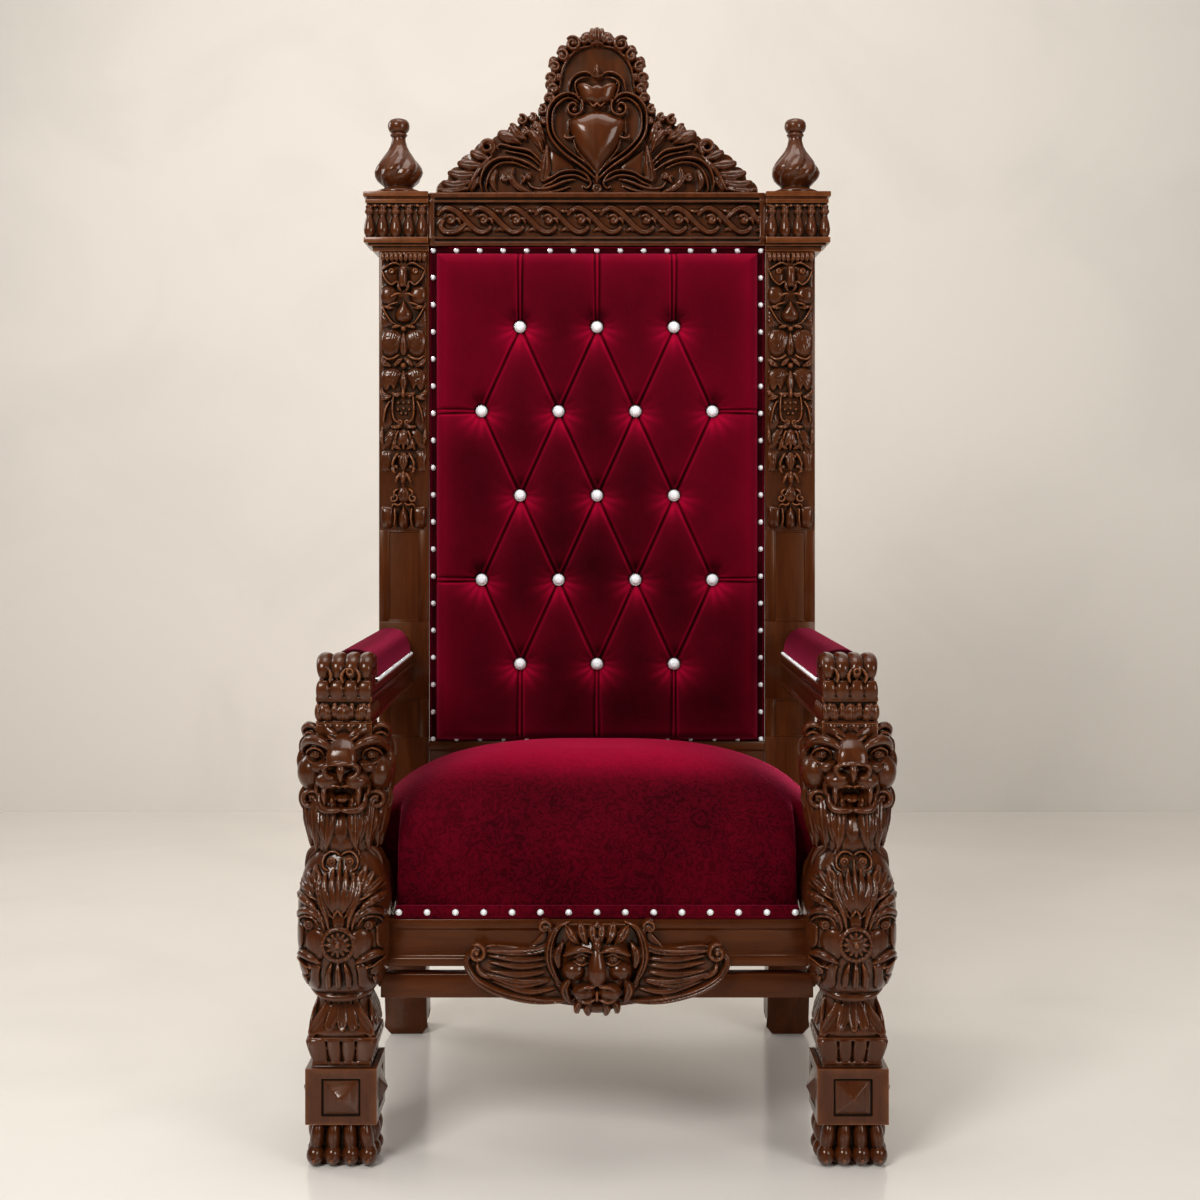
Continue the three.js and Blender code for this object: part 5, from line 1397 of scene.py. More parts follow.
def paint_pad_light(pad):
    """Stores the painted light and shade of the velvet: painted highlights on the rolled edge, beside the folds and
    under the buttons, painted shade in the crease lines, above the buttons and round them.
    """
    mesh = pad.data
    co = np.zeros(len(mesh.vertices) * 3)
    mesh.vertices.foreach_get("co", co)
    x, y, z = (co.reshape(-1, 3) * 1000).T
    edge = np.minimum(PAD["half"] - np.abs(x), np.minimum(z - PAD["low"], PAD["high"] - z)).clip(0)
    # Painted highlight on the rolled edge, lighter towards the top and towards the sides.
    nap = 0.1 + 0.42 * np.exp(-edge / 15.0) + 0.07 * (z - MIDDLE_Z) / 400 + 0.12 * (np.abs(x) / 280) ** 2
    folds, pleats = fold_lines()
    # Painted highlights beside the folds and pleats, painted shade in their crease lines.
    for line in folds + pleats:
        d, t, side = to_segment(x, z, line)
        near = (d < np.abs(side) + 0.5) * 1.0
        nap += near * 0.14 * np.exp(-d / 16.0)
        if line in folds:
            nap += near * 0.5 * np.exp(-(((side + 3.4) / 1.5) ** 2))
            nap += near * 0.2 * np.exp(-(((side - 5.4) / 2.0) ** 2))
            nap -= near * 0.9 * np.exp(-(((side - 1.0) / 1.7) ** 2))
        else:
            for shift in (-1, 1):
                at = side - shift * (2.8 + 1.6 * t)
                nap += near * 0.45 * np.exp(-(((at + 2.8) / 1.3) ** 2))
                nap -= near * 0.9 * np.exp(-((at / 1.5) ** 2))
    # Painted highlight under each button, in rays, and painted shade above it and in a ring round it.
    for bx, bz in button_places():
        u, v = x - bx, z - bz
        r = np.hypot(u, v)
        rays = 0.5 + 0.5 * np.cos(13 * np.arctan2(v, u) + 3 * np.sin(bx + bz))
        under = 1 / (1 + np.exp((v + 2) / 5.0))
        nap += (0.5 + 0.6 * rays) * np.exp(-((r / 31.0) ** 2)) * (0.12 + 0.88 * under)
        nap -= 0.3 * np.exp(-((u / 17.0) ** 2) - (((v - 18) / 15.0) ** 2))
        nap -= 0.8 * np.exp(-((r / 13.0) ** 6))
    # The flat border and the back get a fixed dark value, the cord a fixed middle one.
    nap = np.where((y > 266) & (edge < 1), 0.03, nap).clip(0.01, 1)
    nap = np.where((np.abs(x) > 290.4) & (y < 268.0), 0.14, nap)
    attribute = mesh.attributes.new("nap", "FLOAT", "POINT")
    attribute.data.foreach_set("value", nap.astype(np.float32))


def border_loop():
    """Runs of the thin cord outside the studs."""
    x, low, high, y = 293.2, 530, 1396.4, 268.4
    return [[(-x, y, low), (-x, y, (low + high) / 2), (-x, y, high)],
            [(x, y, low), (x, y, (low + high) / 2), (x, y, high)],
            [(-x, y, low), (0, y, low), (x, y, low)], [(-x, y, high), (0, y, high), (x, y, high)]]


SEAT = {"half": 371.0, "front": -303.0, "back": 262.0, "crown": 563.0, "base": 347.6}


def seat_shell():
    half, front, back, crown, base = SEAT.values()
    middle = (front + back) / 2
    rows, columns = 70, 240
    share = np.sin(np.linspace(0, math.pi / 2, rows))
    around = np.linspace(0, 2 * math.pi, columns, endpoint=False)
    c, s = np.cos(around), np.sin(around)
    u, v = np.sign(c) * np.abs(c) ** (2 / 5), np.sign(s) * np.abs(s) ** (2 / 5)
    points = [np.column_stack([np.zeros(columns), np.full(columns, middle), np.full(columns, base)])]
    for t in share:
        reach = max(0.0, 1 - t**3) ** (1 / 3)
        z = base + (crown - base) * t
        points.append(np.column_stack([half * reach * u, middle + (back - front) / 2 * reach * v,
                      np.full(columns, z)]))
    points = np.vstack(points)
    x, y, z = points.T
    fall = 0.125 * (np.maximum(y + 40, 0) / 190) ** 1.9 + 0.05 * (np.abs(x) / 312) ** 2.4
    points[:, 2] = base + (z - base) * (1 - fall)
    return points, grid_quads(rows + 1, columns)


def build_seat(context):
    seat = show("seat_cushion", *seat_shell())
    notches = [show("notch", *block(sorted((side * 291.5, side * 500)), (-450, -210), (300, 700))) for side in (-1,
               1)]
    for notch in notches:
        finish_modifier(seat, "BOOLEAN", operation="DIFFERENCE", solver="EXACT", object=notch)
        bpy.data.objects.remove(notch)
    finish_modifier(seat, "REMESH", mode="VOXEL", voxel_size=0.0055)
    plump(seat, pressure=4, reach=5.0, limit=(374.5, -305.0, 264.4, 566.0, 347.4))
    finish_modifier(seat, "SMOOTH", factor=0.5, iterations=4)
    finish_modifier(seat, "SUBSURF", levels=1, render_levels=1)
    rim = strand([(-288, -304, 349.8), (0, -304, 349.8), (288, -304, 349.8)], 2.6, 2.6, blunt=0.03, sides=12)
    band = boxed("band", (-290, 290), (-304.5, -298), (348, 366), 1.0)
    cord = show("cord", *gather([rim]))
    seat = united("domed_seat", [seat, band, cord])
    co = np.zeros(len(seat.data.vertices) * 3)
    seat.data.vertices.foreach_get("co", co)
    x, _, z = (co.reshape(-1, 3) * 1000).T
    # Painted highlight: the velvet is painted bright along the top of the crown and in a band near each side, and dark
    # below.
    crown = 1 / (1 + np.exp(-(z - 549) / 7.5))
    nap = 0.09 + 0.72 * crown + 0.1 * np.exp(-((np.abs(x) - 300) / 14.0) ** 2)
    seat.data.attributes.new("nap", "FLOAT", "POINT").data.foreach_set("value", nap.clip(0.02, 1).astype(np.float32))
    only(seat)
    bpy.ops.object.shade_smooth_by_angle(angle=math.radians(60))
    return [(seat, "seat_pad")]


def plump(piece, pressure, reach, limit):
    """Swells a cushion with cloth under pressure, and keeps each point within a reach of where it was."""
    mesh = piece.data
    start = np.zeros(len(mesh.vertices) * 3, np.float32)
    mesh.vertices.foreach_get("co", start)
    start = start.reshape(-1, 3)
    only(piece)
    cloth = piece.modifiers.new("Cloth", "CLOTH")
    cloth.settings.use_pressure = True
    cloth.settings.uniform_pressure_force = pressure
    cloth.settings.quality = 4
    cloth.settings.tension_stiffness = cloth.settings.compression_stiffness = 15
    cloth.settings.effector_weights.gravity = 0
    cloth.collision_settings.use_collision = False
    scene = bpy.context.scene
    for number in range(1, 21):
        scene.frame_set(number)
    swollen = piece.evaluated_get(bpy.context.evaluated_depsgraph_get()).data
    end = np.zeros(len(swollen.vertices) * 3, np.float32)
    swollen.vertices.foreach_get("co", end)
    end = end.reshape(-1, 3)
    piece.modifiers.remove(cloth)
    scene.frame_set(1)
    move = end - start
    length = np.linalg.norm(move, axis=1, keepdims=True)
    cap = reach / 1000
    kept = start + move * np.minimum(1, cap / np.maximum(length, 1e-9))
    x, front, back, top, low = (v / 1000 for v in limit)
    kept[:, 0] = np.clip(kept[:, 0], -x, x)
    kept[:, 1] = np.clip(kept[:, 1], front, back)
    kept[:, 2] = np.clip(kept[:, 2], low, top)
    mesh.vertices.foreach_set("co", kept.ravel())
    mesh.update()


def build_arm_pads(context):
    half, rise, low = 36.6, 47.0, ARM_TOP + 0.6
    front, back = -221.5, 264.2
    rows, columns = 90, 44
    share = np.linspace(0, 1, rows)
    y = front + (back - front) * (0.5 - 0.5 * np.cos(math.pi * share))
    end = np.minimum(1, np.sqrt((1 - (1 - np.minimum((y - front) / 14, 1)) ** 2).clip(0.02)))
    tail = np.minimum(1, np.sqrt((1 - (1 - np.minimum((back - y) / 6, 1)) ** 2).clip(0.1)))
    a = np.linspace(0, 2 * math.pi, columns, endpoint=False)
    c, s = np.cos(a), np.sin(a)
    points = [np.tile([[0, front, low + 8]], (columns, 1))]
    for yi, e, f in zip(y, end, tail):
        k = e * f
        x = half * k**0.5 * np.sign(c) * np.abs(c) ** 0.82
        z = np.where(s > 0, low + rise * k * np.abs(s) ** 0.9, low)
        points.append(np.column_stack([x, np.full(columns, yi), z]))
    points.append(np.tile([[0, back, low + 8]], (columns, 1)))
    pad = show("arm_cushion_left", np.vstack(points), grid_quads(rows + 2, columns))
    finish_modifier(pad, "REMESH", mode="VOXEL", voxel_size=0.003)
    finish_modifier(pad, "SMOOTH", factor=0.5, iterations=4)
    only(pad)
    bpy.ops.object.shade_smooth_by_angle(angle=math.radians(60))
    twin = copy_of(pad, "arm_cushion_right", (POST_X, 0, 0))
    shift_mesh(pad, (-POST_X, 0, 0))
    return [(pad, "arm_pad_left"), (twin, "arm_pad_right")]


# ------------------------------------------------------------------ crystal


def gem(radius, rise, sides=12):
    """A faceted stone in a thin rim, about the origin, its face towards the front. Returns points, quads and which
    quads belong to the rim."""
    rings = [(0.0, 3.0, 0), (radius, 3.0, 0), (radius, 0.0, 0), (radius * 0.97, -rise * 0.18, 0),
             (radius * 0.84, -rise * 0.2, 0),
             (radius * 0.8, -rise * 0.3, 0.5), (radius * 0.56, -rise * 0.82, 0), (radius * 0.3, -rise, 0.5),
             (0.0, -rise * 1.0, 0)]
    points = []
    for r, y, turn in rings:
        a = 2 * math.pi * (np.arange(sides) + turn) / sides
        points.append(np.column_stack([r * np.cos(a), np.full(sides, y), r * np.sin(a)]))
    quads = grid_quads(len(rings), sides)
    return np.vstack(points), quads, len(quads) // (len(rings) - 1) * 4


def stones(name, places, radius, rise, facing=None):
    """Many stones as one piece. Each place is a point; facing turns a stone about the upright axis."""
    points, quads, rim_quads = gem(radius, rise, 14 if radius > 8 else 10)
    all_points, all_quads, rims = [], [], []
    for i, place_at in enumerate(places):
        turn = 0.0 if facing is None else facing[i]
        spin = 0.7 * i
        x, z = points[:, 0] * math.cos(spin) - points[:, 2] * math.sin(spin), points[:,
                                                            0] * math.sin(spin) + points[:, 2] * math.cos(spin)
        p = np.column_stack([x * math.cos(turn) - points[:, 1] * math.sin(turn),
                            x * math.sin(turn) + points[:, 1] * math.cos(turn), z])
        all_points.append(p + place_at)
        all_quads.append(quads + i * len(points))
        rims.append(np.arange(len(quads)) < rim_quads)
    piece = show(name, np.vstack(all_points), np.vstack(all_quads), smooth=False)
    only(piece)
    bpy.ops.object.mode_set(mode="EDIT")
    bpy.ops.mesh.select_all(action="SELECT")
    bpy.ops.mesh.normals_make_consistent(inside=False)
    bpy.ops.object.mode_set(mode="OBJECT")
    piece.data.materials.append(None)
    piece.data.materials.append(None)
    piece.data.polygons.foreach_set("material_index", np.concatenate(rims).astype(np.int32))
    return piece


def build_buttons(context):
    places = [(x, 248.0, z) for x, z in button_places()]
    piece = stones("tufting_buttons", places, 11.0, 7.5)
    return [(piece, *[f"button_{i + 1:02d}" for i in range(17)])]


def build_studs(context):
    places, facing = [], []
    for i in range(19):
        for side in (-1, 1):
            places.append((side * 288.6, 267.4, 531 + i * (1391.5 - 531) / 18))
            facing.append(0.0)
    for i in range(1, 14):
        for z in (531, 1391.5):
            places.append((-288.6 + i * 2 * 288.6 / 14, 267.4, z))
            facing.append(0.0)
    for i in range(15):
        places.append(((i - 7) * 40.7, -305.0, 357))
        facing.append(0.0)
    studs = stones("border_studs", places, 5.0, 4.6, facing)
    trims, turns = [], []
    for i in range(62):
        y = -216 + i * (258 + 216) / 61
        for post in (-POST_X, POST_X):
            for side in (-1, 1):
                trims.append((post + side * 37.8, y, ARM_TOP + 2.6))
                turns.append(side * math.pi / 2)
    trim = stones("arm_trim", trims, 2.9, 2.6, turns)
    return [(studs,), (trim,)]


# ------------------------------------------------------------------ shader groups


class Nodes:
    """A short way to add and join nodes in one tree."""

    def __init__(self, tree):
        self.tree = tree

    def add(self, kind, **values):
        node = self.tree.nodes.new(kind)
        for key, value in values.items():
            if key in node.bl_rna.properties.keys():
                setattr(node, key, value)
            else:
                self.give(node, key, value)
        return node

    def give(self, node, key, value):
        socket = node.inputs[int(key[1:])] if key[0] == "_" and key[1:].isdigit() else node.inputs[key.replace("_",
                                                            " ")]
        if isinstance(value, bpy.types.NodeSocket):
            self.tree.links.new(value, socket)
        else:
            socket.default_value = value

    def math(self, operation, a, b=0.0, clamp=False):
        return self.add("ShaderNodeMath", operation=operation, use_clamp=clamp, _0=a, _1=b).outputs[0]

    def mix(self, share, a, b, blend="MIX"):
        node = self.tree.nodes.new("ShaderNodeMix")
        node.data_type = "RGBA"
        node.blend_type = blend
        for socket, value in ((node.inputs[0], share), (node.inputs[6], a), (node.inputs[7], b)):
            if isinstance(value, bpy.types.NodeSocket):
                self.tree.links.new(value, socket)
            else:
                socket.default_value = value
        return node.outputs[2]

    def ramp(self, value, low, high, to_low=0.0, to_high=1.0, smooth=True):
        return self.add("ShaderNodeMapRange", interpolation_type="SMOOTHSTEP" if smooth else "LINEAR", _0=value,
                        _1=low, _2=high,
                        _3=to_low, _4=to_high).outputs[0]


def new_group(name, inputs, outputs):
    """A shader node group with these named sockets."""
    tree = bpy.data.node_groups.new(name, "ShaderNodeTree")
    kinds = {"color": "NodeSocketColor", "value": "NodeSocketFloat", "vector": "NodeSocketVector"}
    for label, kind, default in inputs:
        socket = tree.interface.new_socket(label, in_out="INPUT", socket_type=kinds[kind])
        if default is not None:
            socket.default_value = default
    for label, kind in outputs:
        tree.interface.new_socket(label, in_out="OUTPUT", socket_type=kinds[kind])
    kit = Nodes(tree)
    return tree, kit, tree.nodes.new("NodeGroupInput"), tree.nodes.new("NodeGroupOutput")


def grain_group():
    """Straight timber grain with pores: a colour, a roughness and a height."""
    tree, kit, start, end = new_group(
        "Timber grain",
        [("Vector", "vector", None), ("Light", "color", (0.2, 0.08, 0.03, 1)),
                                      ("Dark", "color", (0.05, 0.02, 0.01, 1)),
         ("Roughness", "value", 0.35)],
        [("Color", "color"), ("Roughness", "value"), ("Height", "value")],
    )
    along = kit.add("ShaderNodeMapping", Vector=start.outputs["Vector"], Scale=(26.0, 26.0, 2.6)).outputs[0]
    bands = kit.add("ShaderNodeTexNoise", Vector=along, Scale=2.4, Detail=5.0, Roughness=0.62,
                    Distortion=0.6).outputs["Fac"]
    pores = kit.add("ShaderNodeTexNoise", Vector=kit.add("ShaderNodeMapping", Vector=start.outputs["Vector"],
                    Scale=(900.0, 900.0, 42.0)).outputs[0], Scale=1.0, Detail=2.0).outputs["Fac"]
    cloud = kit.add("ShaderNodeTexNoise", Vector=start.outputs["Vector"], Scale=9.0, Detail=3.0).outputs["Fac"]
    share = kit.ramp(bands, 0.3, 0.72)
    share = kit.math("ADD", kit.math("MULTIPLY", share, 0.7), 0.12)
    share = kit.math("ADD", share, kit.math("MULTIPLY", kit.math("SUBTRACT", cloud, 0.5), 0.5), clamp=True)
    color = kit.mix(share, start.outputs["Dark"], start.outputs["Light"])
    pore = kit.ramp(pores, 0.28, 0.4, 0.72, 1.0)
    color = kit.mix(1.0, color, kit.add("ShaderNodeCombineColor", Red=pore, Green=pore, Blue=pore).outputs[0],
                    "MULTIPLY")
    rough = kit.math("ADD", start.outputs["Roughness"],
                     kit.math("MULTIPLY", kit.math("SUBTRACT", bands, 0.5), 0.16), clamp=True)
    kit.give(end, "Color", color)
    kit.give(end, "Roughness", rough)
    kit.give(end, "Height", kit.math("ADD", kit.math("MULTIPLY", bands, 0.5), kit.math("MULTIPLY", pore, 0.5)))
    return tree


def age_group():
    """Painted shade and dark old polish in the hollows, and a painted highlight with rubbed wear on the edges, from how
    proud each point is.
    """
    tree, kit, start, end = new_group(
        "Age and wear",
        [("Color", "color", None), ("Roughness", "value", 0.3), ("Proud", "value", 0.5),
                                      ("Hollow color", "color", (0.01, 0.004, 0.002, 1)),
         ("Worn color", "color", (0.3, 0.15, 0.08, 1)), ("Vector", "vector", None)],
        [("Color", "color"), ("Roughness", "value"), ("Gloss", "value")],
    )
    blotch = kit.add("ShaderNodeTexNoise", Vector=start.outputs["Vector"], Scale=38.0, Detail=4.0).outputs["Fac"]
    proud = kit.math("ADD", start.outputs["Proud"], kit.math("MULTIPLY", kit.math("SUBTRACT", blotch, 0.5), 0.12))
    # Painted shade: the hollows are darkened towards the hollow colour, over their dark old polish.
    sunk = kit.ramp(proud, 0.48, 0.37)
    # Painted highlight: the proud edges are lightened towards the edge colour, with their rubbed wear.
    wear_and_highlight = kit.math("MULTIPLY", kit.ramp(proud, 0.57, 0.8), 0.85)
    color = kit.mix(sunk, start.outputs["Color"], start.outputs["Hollow color"])
    color = kit.mix(wear_and_highlight, color, start.outputs["Worn color"])
    rough = kit.math("ADD", start.outputs["Roughness"], kit.math("MULTIPLY", sunk, 0.4), clamp=True)
    kit.give(end, "Color", color)
    kit.give(end, "Roughness", rough)
    kit.give(end, "Gloss", kit.math("SUBTRACT", 1.0, sunk))
    return tree


def nap_group():
    """Velvet: crushed patches, fine pile and curling creases as a colour and a height, laid over the painted light and
    shade that comes in as a value.
    """
    tree, kit, start, end = new_group(
        "Velvet nap",
        [("Vector", "vector", None), ("Deep", "color", (0.1, 0.0, 0.01, 1)),
                                      ("Bright", "color", (0.3, 0.01, 0.04, 1)),
         ("Crush", "value", 1.0), ("Nap", "value", 0.3)],
        [("Color", "color"), ("Height", "value")],
    )
    cloud = kit.add("ShaderNodeTexNoise", Vector=start.outputs["Vector"], Scale=7.0, Detail=3.0,
                    Roughness=0.55).outputs["Fac"]
    curls = kit.add("ShaderNodeTexNoise", Vector=start.outputs["Vector"], Scale=52.0, Detail=2.0,
                    Distortion=2.2).outputs["Fac"]
    pile = kit.add("ShaderNodeTexNoise", Vector=start.outputs["Vector"], Scale=900.0, Detail=2.0).outputs["Fac"]
    ridge = kit.math("SUBTRACT", 1.0, kit.math("MULTIPLY", kit.math("ABSOLUTE", kit.math("SUBTRACT", curls, 0.5)),
                     9.0), clamp=True)
    ridge = kit.math("MULTIPLY", ridge, start.outputs["Crush"])
    # The incoming value is painted light and shade; the noises add crushed patches, curls and pile.
    share = kit.math("ADD", start.outputs["Nap"], kit.math("MULTIPLY", kit.math("SUBTRACT", cloud, 0.5), 0.3))
    share = kit.math("ADD", share, kit.math("MULTIPLY", ridge, 0.12))
    share = kit.math("ADD", share, kit.math("MULTIPLY", kit.math("SUBTRACT", pile, 0.5), 0.25), clamp=True)
    kit.give(end, "Color", kit.mix(share, start.outputs["Deep"], start.outputs["Bright"]))
    kit.give(end, "Height", kit.math("ADD", kit.math("MULTIPLY", ridge, 0.6), kit.math("MULTIPLY", pile, 0.25)))
    return tree


def named_group(name, make):
    return bpy.data.node_groups.get(name) or make()


def surface(name):
    """A new material, its shader and its node kit."""
    material = bpy.data.materials.new(name)
    material.use_nodes = True
    tree = material.node_tree
    return material, tree.nodes["Principled BSDF"], Nodes(tree)


def rgba(color, gain=1.0):
    return (color[0] * gain, color[1] * gain, color[2] * gain, 1.0)


def mahogany(context, carved, axis="z"):
    """Polished mahogany. The carved kind has painted shade and dark old polish in its hollows and a painted highlight
    with rubbed wear on its edges, and the plain kind runs its grain along an axis.
    """
    look = context.scene.throne_wood
    name = "carved_mahogany" if carved else "mahogany_along_" + axis
    if name in bpy.data.materials:
        return bpy.data.materials[name]
    material, shader, kit = surface(name)
    place_at = kit.add("ShaderNodeTexCoord").outputs["Object"]
    turn = {"z": (0, 0, 0), "x": (0, math.pi / 2, 0), "y": (math.pi / 2, 0, 0)}[axis]
    along = kit.add("ShaderNodeMapping", Vector=place_at, Rotation=turn).outputs[0]
    grain = kit.add("ShaderNodeGroup", node_tree=named_group("Timber grain", grain_group))
    kit.give(grain, "Vector", along)
    kit.give(grain, "Light", rgba(look.light))
    kit.give(grain, "Dark", rgba(look.dark))
    kit.give(grain, "Roughness", look.roughness)
    color, rough = grain.outputs["Color"], grain.outputs["Roughness"]
    if carved:
        proud = kit.add("ShaderNodeAttribute", attribute_name="proud").outputs["Fac"]
        age = kit.add("ShaderNodeGroup", node_tree=named_group("Age and wear", age_group))
        # The hollow colour is painted shade, and the edge colour is a painted highlight with rubbed wear.
        for key, value in (("Color", color), ("Roughness", rough), ("Proud", proud), ("Vector", place_at),
                           ("Hollow color", rgba(look.hollow)), ("Worn color", rgba(look.wear_and_highlight))):
            node_socket = age.inputs[key]
            if isinstance(value, bpy.types.NodeSocket):
                kit.tree.links.new(value, node_socket)
            else:
                node_socket.default_value = value
        color, rough = age.outputs["Color"], age.outputs["Roughness"]
        kit.give(shader, "Coat Weight", kit.math("MULTIPLY", age.outputs["Gloss"], look.coat))
    else:
        shader.inputs["Coat Weight"].default_value = look.coat * 0.3
    bump = kit.add("ShaderNodeBump", Height=grain.outputs["Height"], Strength=0.12 if carved else 0.2,
                   Distance=0.0006)
    kit.give(shader, "Base Color", color)
    kit.give(shader, "Roughness", rough)
    kit.give(shader, "Normal", bump.outputs[0])
    shader.inputs["Coat Roughness"].default_value = 0.11
    shader.inputs["Specular IOR Level"].default_value = 0.2
    shader.inputs["Specular Tint"].default_value = (1.0, 0.7, 0.45, 1)
    return material


def velvet(context, name, crush, light_painted=False):
    look = context.scene.throne_velvet
    if name in bpy.data.materials:
        return bpy.data.materials[name]
    material, shader, kit = surface(name)
    place_at = kit.add("ShaderNodeTexCoord").outputs["Object"]
    nap = kit.add("ShaderNodeGroup", node_tree=named_group("Velvet nap", nap_group))
    kit.give(nap, "Vector", place_at)
    kit.give(nap, "Deep", rgba(look.deep))
    kit.give(nap, "Bright", rgba(look.bright))
    kit.give(nap, "Crush", crush)
    # Painted light and shade: the colour follows a stored value of painted highlights and shade.
    if light_painted:
        kit.give(nap, "Nap", kit.add("ShaderNodeAttribute", attribute_name="nap").outputs["Fac"])
    bump = kit.add("ShaderNodeBump", Height=nap.outputs["Height"], Strength=0.35, Distance=0.0009)
    kit.give(shader, "Base Color", nap.outputs["Color"])
    kit.give(shader, "Normal", bump.outputs[0])
    shader.inputs["Roughness"].default_value = 0.82
    shader.inputs["Specular IOR Level"].default_value = 0.03
    shader.inputs["Sheen Weight"].default_value = look.sheen
    shader.inputs["Sheen Roughness"].default_value = 0.32
    shader.inputs["Sheen Tint"].default_value = rgba(look.sheen_color)
    return material


def crystal(context):
    look = context.scene.throne_crystal
    if "crystal" in bpy.data.materials:
        return bpy.data.materials["crystal"]
    material, shader, kit = surface("crystal")
    place_at = kit.add("ShaderNodeTexCoord").outputs["Object"]
    # Painted reflection: the facets are painted as dark and bright cells, as glints on the stones.
    cut = kit.add("ShaderNodeTexVoronoi", Vector=place_at, Scale=300.0)
    value = kit.add("ShaderNodeSeparateColor", Color=cut.outputs["Color"]).outputs[0]
    shade = kit.ramp(value, 0.1, 0.75, smooth=False)
    kit.give(shader, "Base Color", kit.mix(shade, rgba(look.color, 0.16), rgba(look.color)))
    tilt = kit.add("ShaderNodeBump", Height=value, Strength=0.5, Distance=0.002)
    kit.give(shader, "Normal", tilt.outputs[0])
    shader.inputs["Metallic"].default_value = 0.6
    shader.inputs["Roughness"].default_value = 0.08
    shader.inputs["IOR"].default_value = 1.9
    shader.inputs["Coat Weight"].default_value = 1.0
    shader.inputs["Coat Roughness"].default_value = 0.02
    return material


def silver(context):
    if "silver_rim" in bpy.data.materials:
        return bpy.data.materials["silver_rim"]
    material, shader, kit = surface("silver_rim")
    place_at = kit.add("ShaderNodeTexCoord").outputs["Object"]
    scratches = kit.add("ShaderNodeTexNoise", Vector=place_at, Scale=600.0, Detail=2.0).outputs["Fac"]
    kit.give(shader, "Roughness", kit.ramp(scratches, 0.3, 0.7, 0.16, 0.3))
    kit.give(shader, "Base Color", kit.mix(scratches, (0.62, 0.61, 0.6, 1), (0.86, 0.86, 0.86, 1)))
    shader.inputs["Metallic"].default_value = 1.0
    return material


# ------------------------------------------------------------------ settings


def color_property(name, text, default):
    return bpy.props.FloatVectorProperty(name=name, description=text, subtype="COLOR", size=3, min=0.0, max=1.0,
                                         default=default)


def share_property(name, text, default):
    return bpy.props.FloatProperty(name=name, description=text, subtype="FACTOR", min=0.0, max=1.0, default=default)


class ThroneWood(bpy.types.PropertyGroup):
    """Colours and gloss of the mahogany."""

    light: color_property("Light grain", "Colour of the paler grain", (0.088, 0.0200, 0.0040))
    dark: color_property("Dark grain", "Colour of the darker grain", (0.044, 0.0088, 0.0017))
    # The hollow colour is painted shade, over the dark old polish in the hollows.
    hollow: color_property("Hollows", "Colour of the old polish in the hollows", (0.0012, 0.0004, 0.0002))
    # The edge colour is a painted highlight, with the rubbed wear on the proud edges.
    wear_and_highlight: color_property("Edge wear and highlight", "Colour of the rubbed edges", (0.31, 0.098, 0.03))
    roughness: share_property("Roughness", "Roughness of the polish", 0.3)
    coat: share_property("Varnish", "Strength of the varnish", 0.5)


class ThroneVelvet(bpy.types.PropertyGroup):
    """Colours and sheen of the velvet."""

    # Deep and bright pile are the two ends of the painted light and shade on the velvet.
    deep: color_property("Deep pile", "Colour where the pile swallows the light", (0.012, 0.0, 0.0006))
    bright: color_property("Bright pile", "Colour where the pile is brushed", (0.35, 0.0015, 0.024))
    sheen_color: color_property("Sheen", "Colour of the sheen at a glance", (1.0, 0.06, 0.18))
    sheen: share_property("Sheen weight", "Strength of the sheen", 0.5)


class ThroneCrystal(bpy.types.PropertyGroup):
    """Colour of the crystal studs."""

    color: color_property("Crystal", "Colour of the stones", (0.95, 0.95, 0.96))


class ThroneStage(bpy.types.PropertyGroup):
    """Floor, backdrop and studio light."""

    floor: color_property("Floor", "Colour of the floor", (0.86, 0.81, 0.74))
    wall: color_property("Backdrop", "Colour of the backdrop", (0.86, 0.8, 0.73))
    glow: bpy.props.FloatProperty(name="Backdrop light", description="Power of the light on the backdrop",
                                  default=32.0, min=0.0,
                                  subtype="POWER")
    key: bpy.props.FloatProperty(name="Key light", description="Power of the key light", default=104.0, min=0.0,
                                 subtype="POWER")
    fill: bpy.props.FloatProperty(name="Fill light", description="Power of the fill light", default=40.0, min=0.0,
                                  subtype="POWER")
    room: bpy.props.FloatProperty(name="Room light", description="Strength of the light all round", default=0.08,
                                  min=0.0, max=4.0)


# ------------------------------------------------------------------ operators


def place_wood(context, made, carved=True, axis="z"):
    for piece, *nodes in made:
        place(piece, mahogany(context, carved, axis), "wood", *nodes)


class THRONE_OT_posts(bpy.types.Operator):
    """Carve the two front posts: paw, block, leaf skirt, oval body, mane and lion head"""

    bl_idname = "throne.posts"
    bl_label = "Front posts"
    bl_options = {"REGISTER", "UNDO"}

    def execute(self, context):
        place_wood(context, build_posts(context))
        return {"FINISHED"}


class THRONE_OT_arms(bpy.types.Operator):
    """Carve the two arms with their paws"""

    bl_idname = "throne.arms"
    bl_label = "Arms"
    bl_options = {"REGISTER", "UNDO"}

    def execute(self, context):
        place_wood(context, build_arms(context))
        return {"FINISHED"}


class THRONE_OT_uprights(bpy.types.Operator):
    """Make the uprights of the back and the carved drops on them"""

    bl_idname = "throne.uprights"
    bl_label = "Uprights"
    bl_options = {"REGISTER", "UNDO"}

    def execute(self, context):
        for piece, node in build_uprights(context):
            place(piece, mahogany(context, piece.name.startswith("drop")), "wood", node)
        return {"FINISHED"}


class THRONE_OT_tops(bpy.types.Operator):
    """Make the capitals with their balusters and the spiral finials"""

    bl_idname = "throne.tops"
    bl_label = "Capitals and finials"
    bl_options = {"REGISTER", "UNDO"}

    def execute(self, context):
        place_wood(context, build_capitals(context) + build_finials(context))
        return {"FINISHED"}


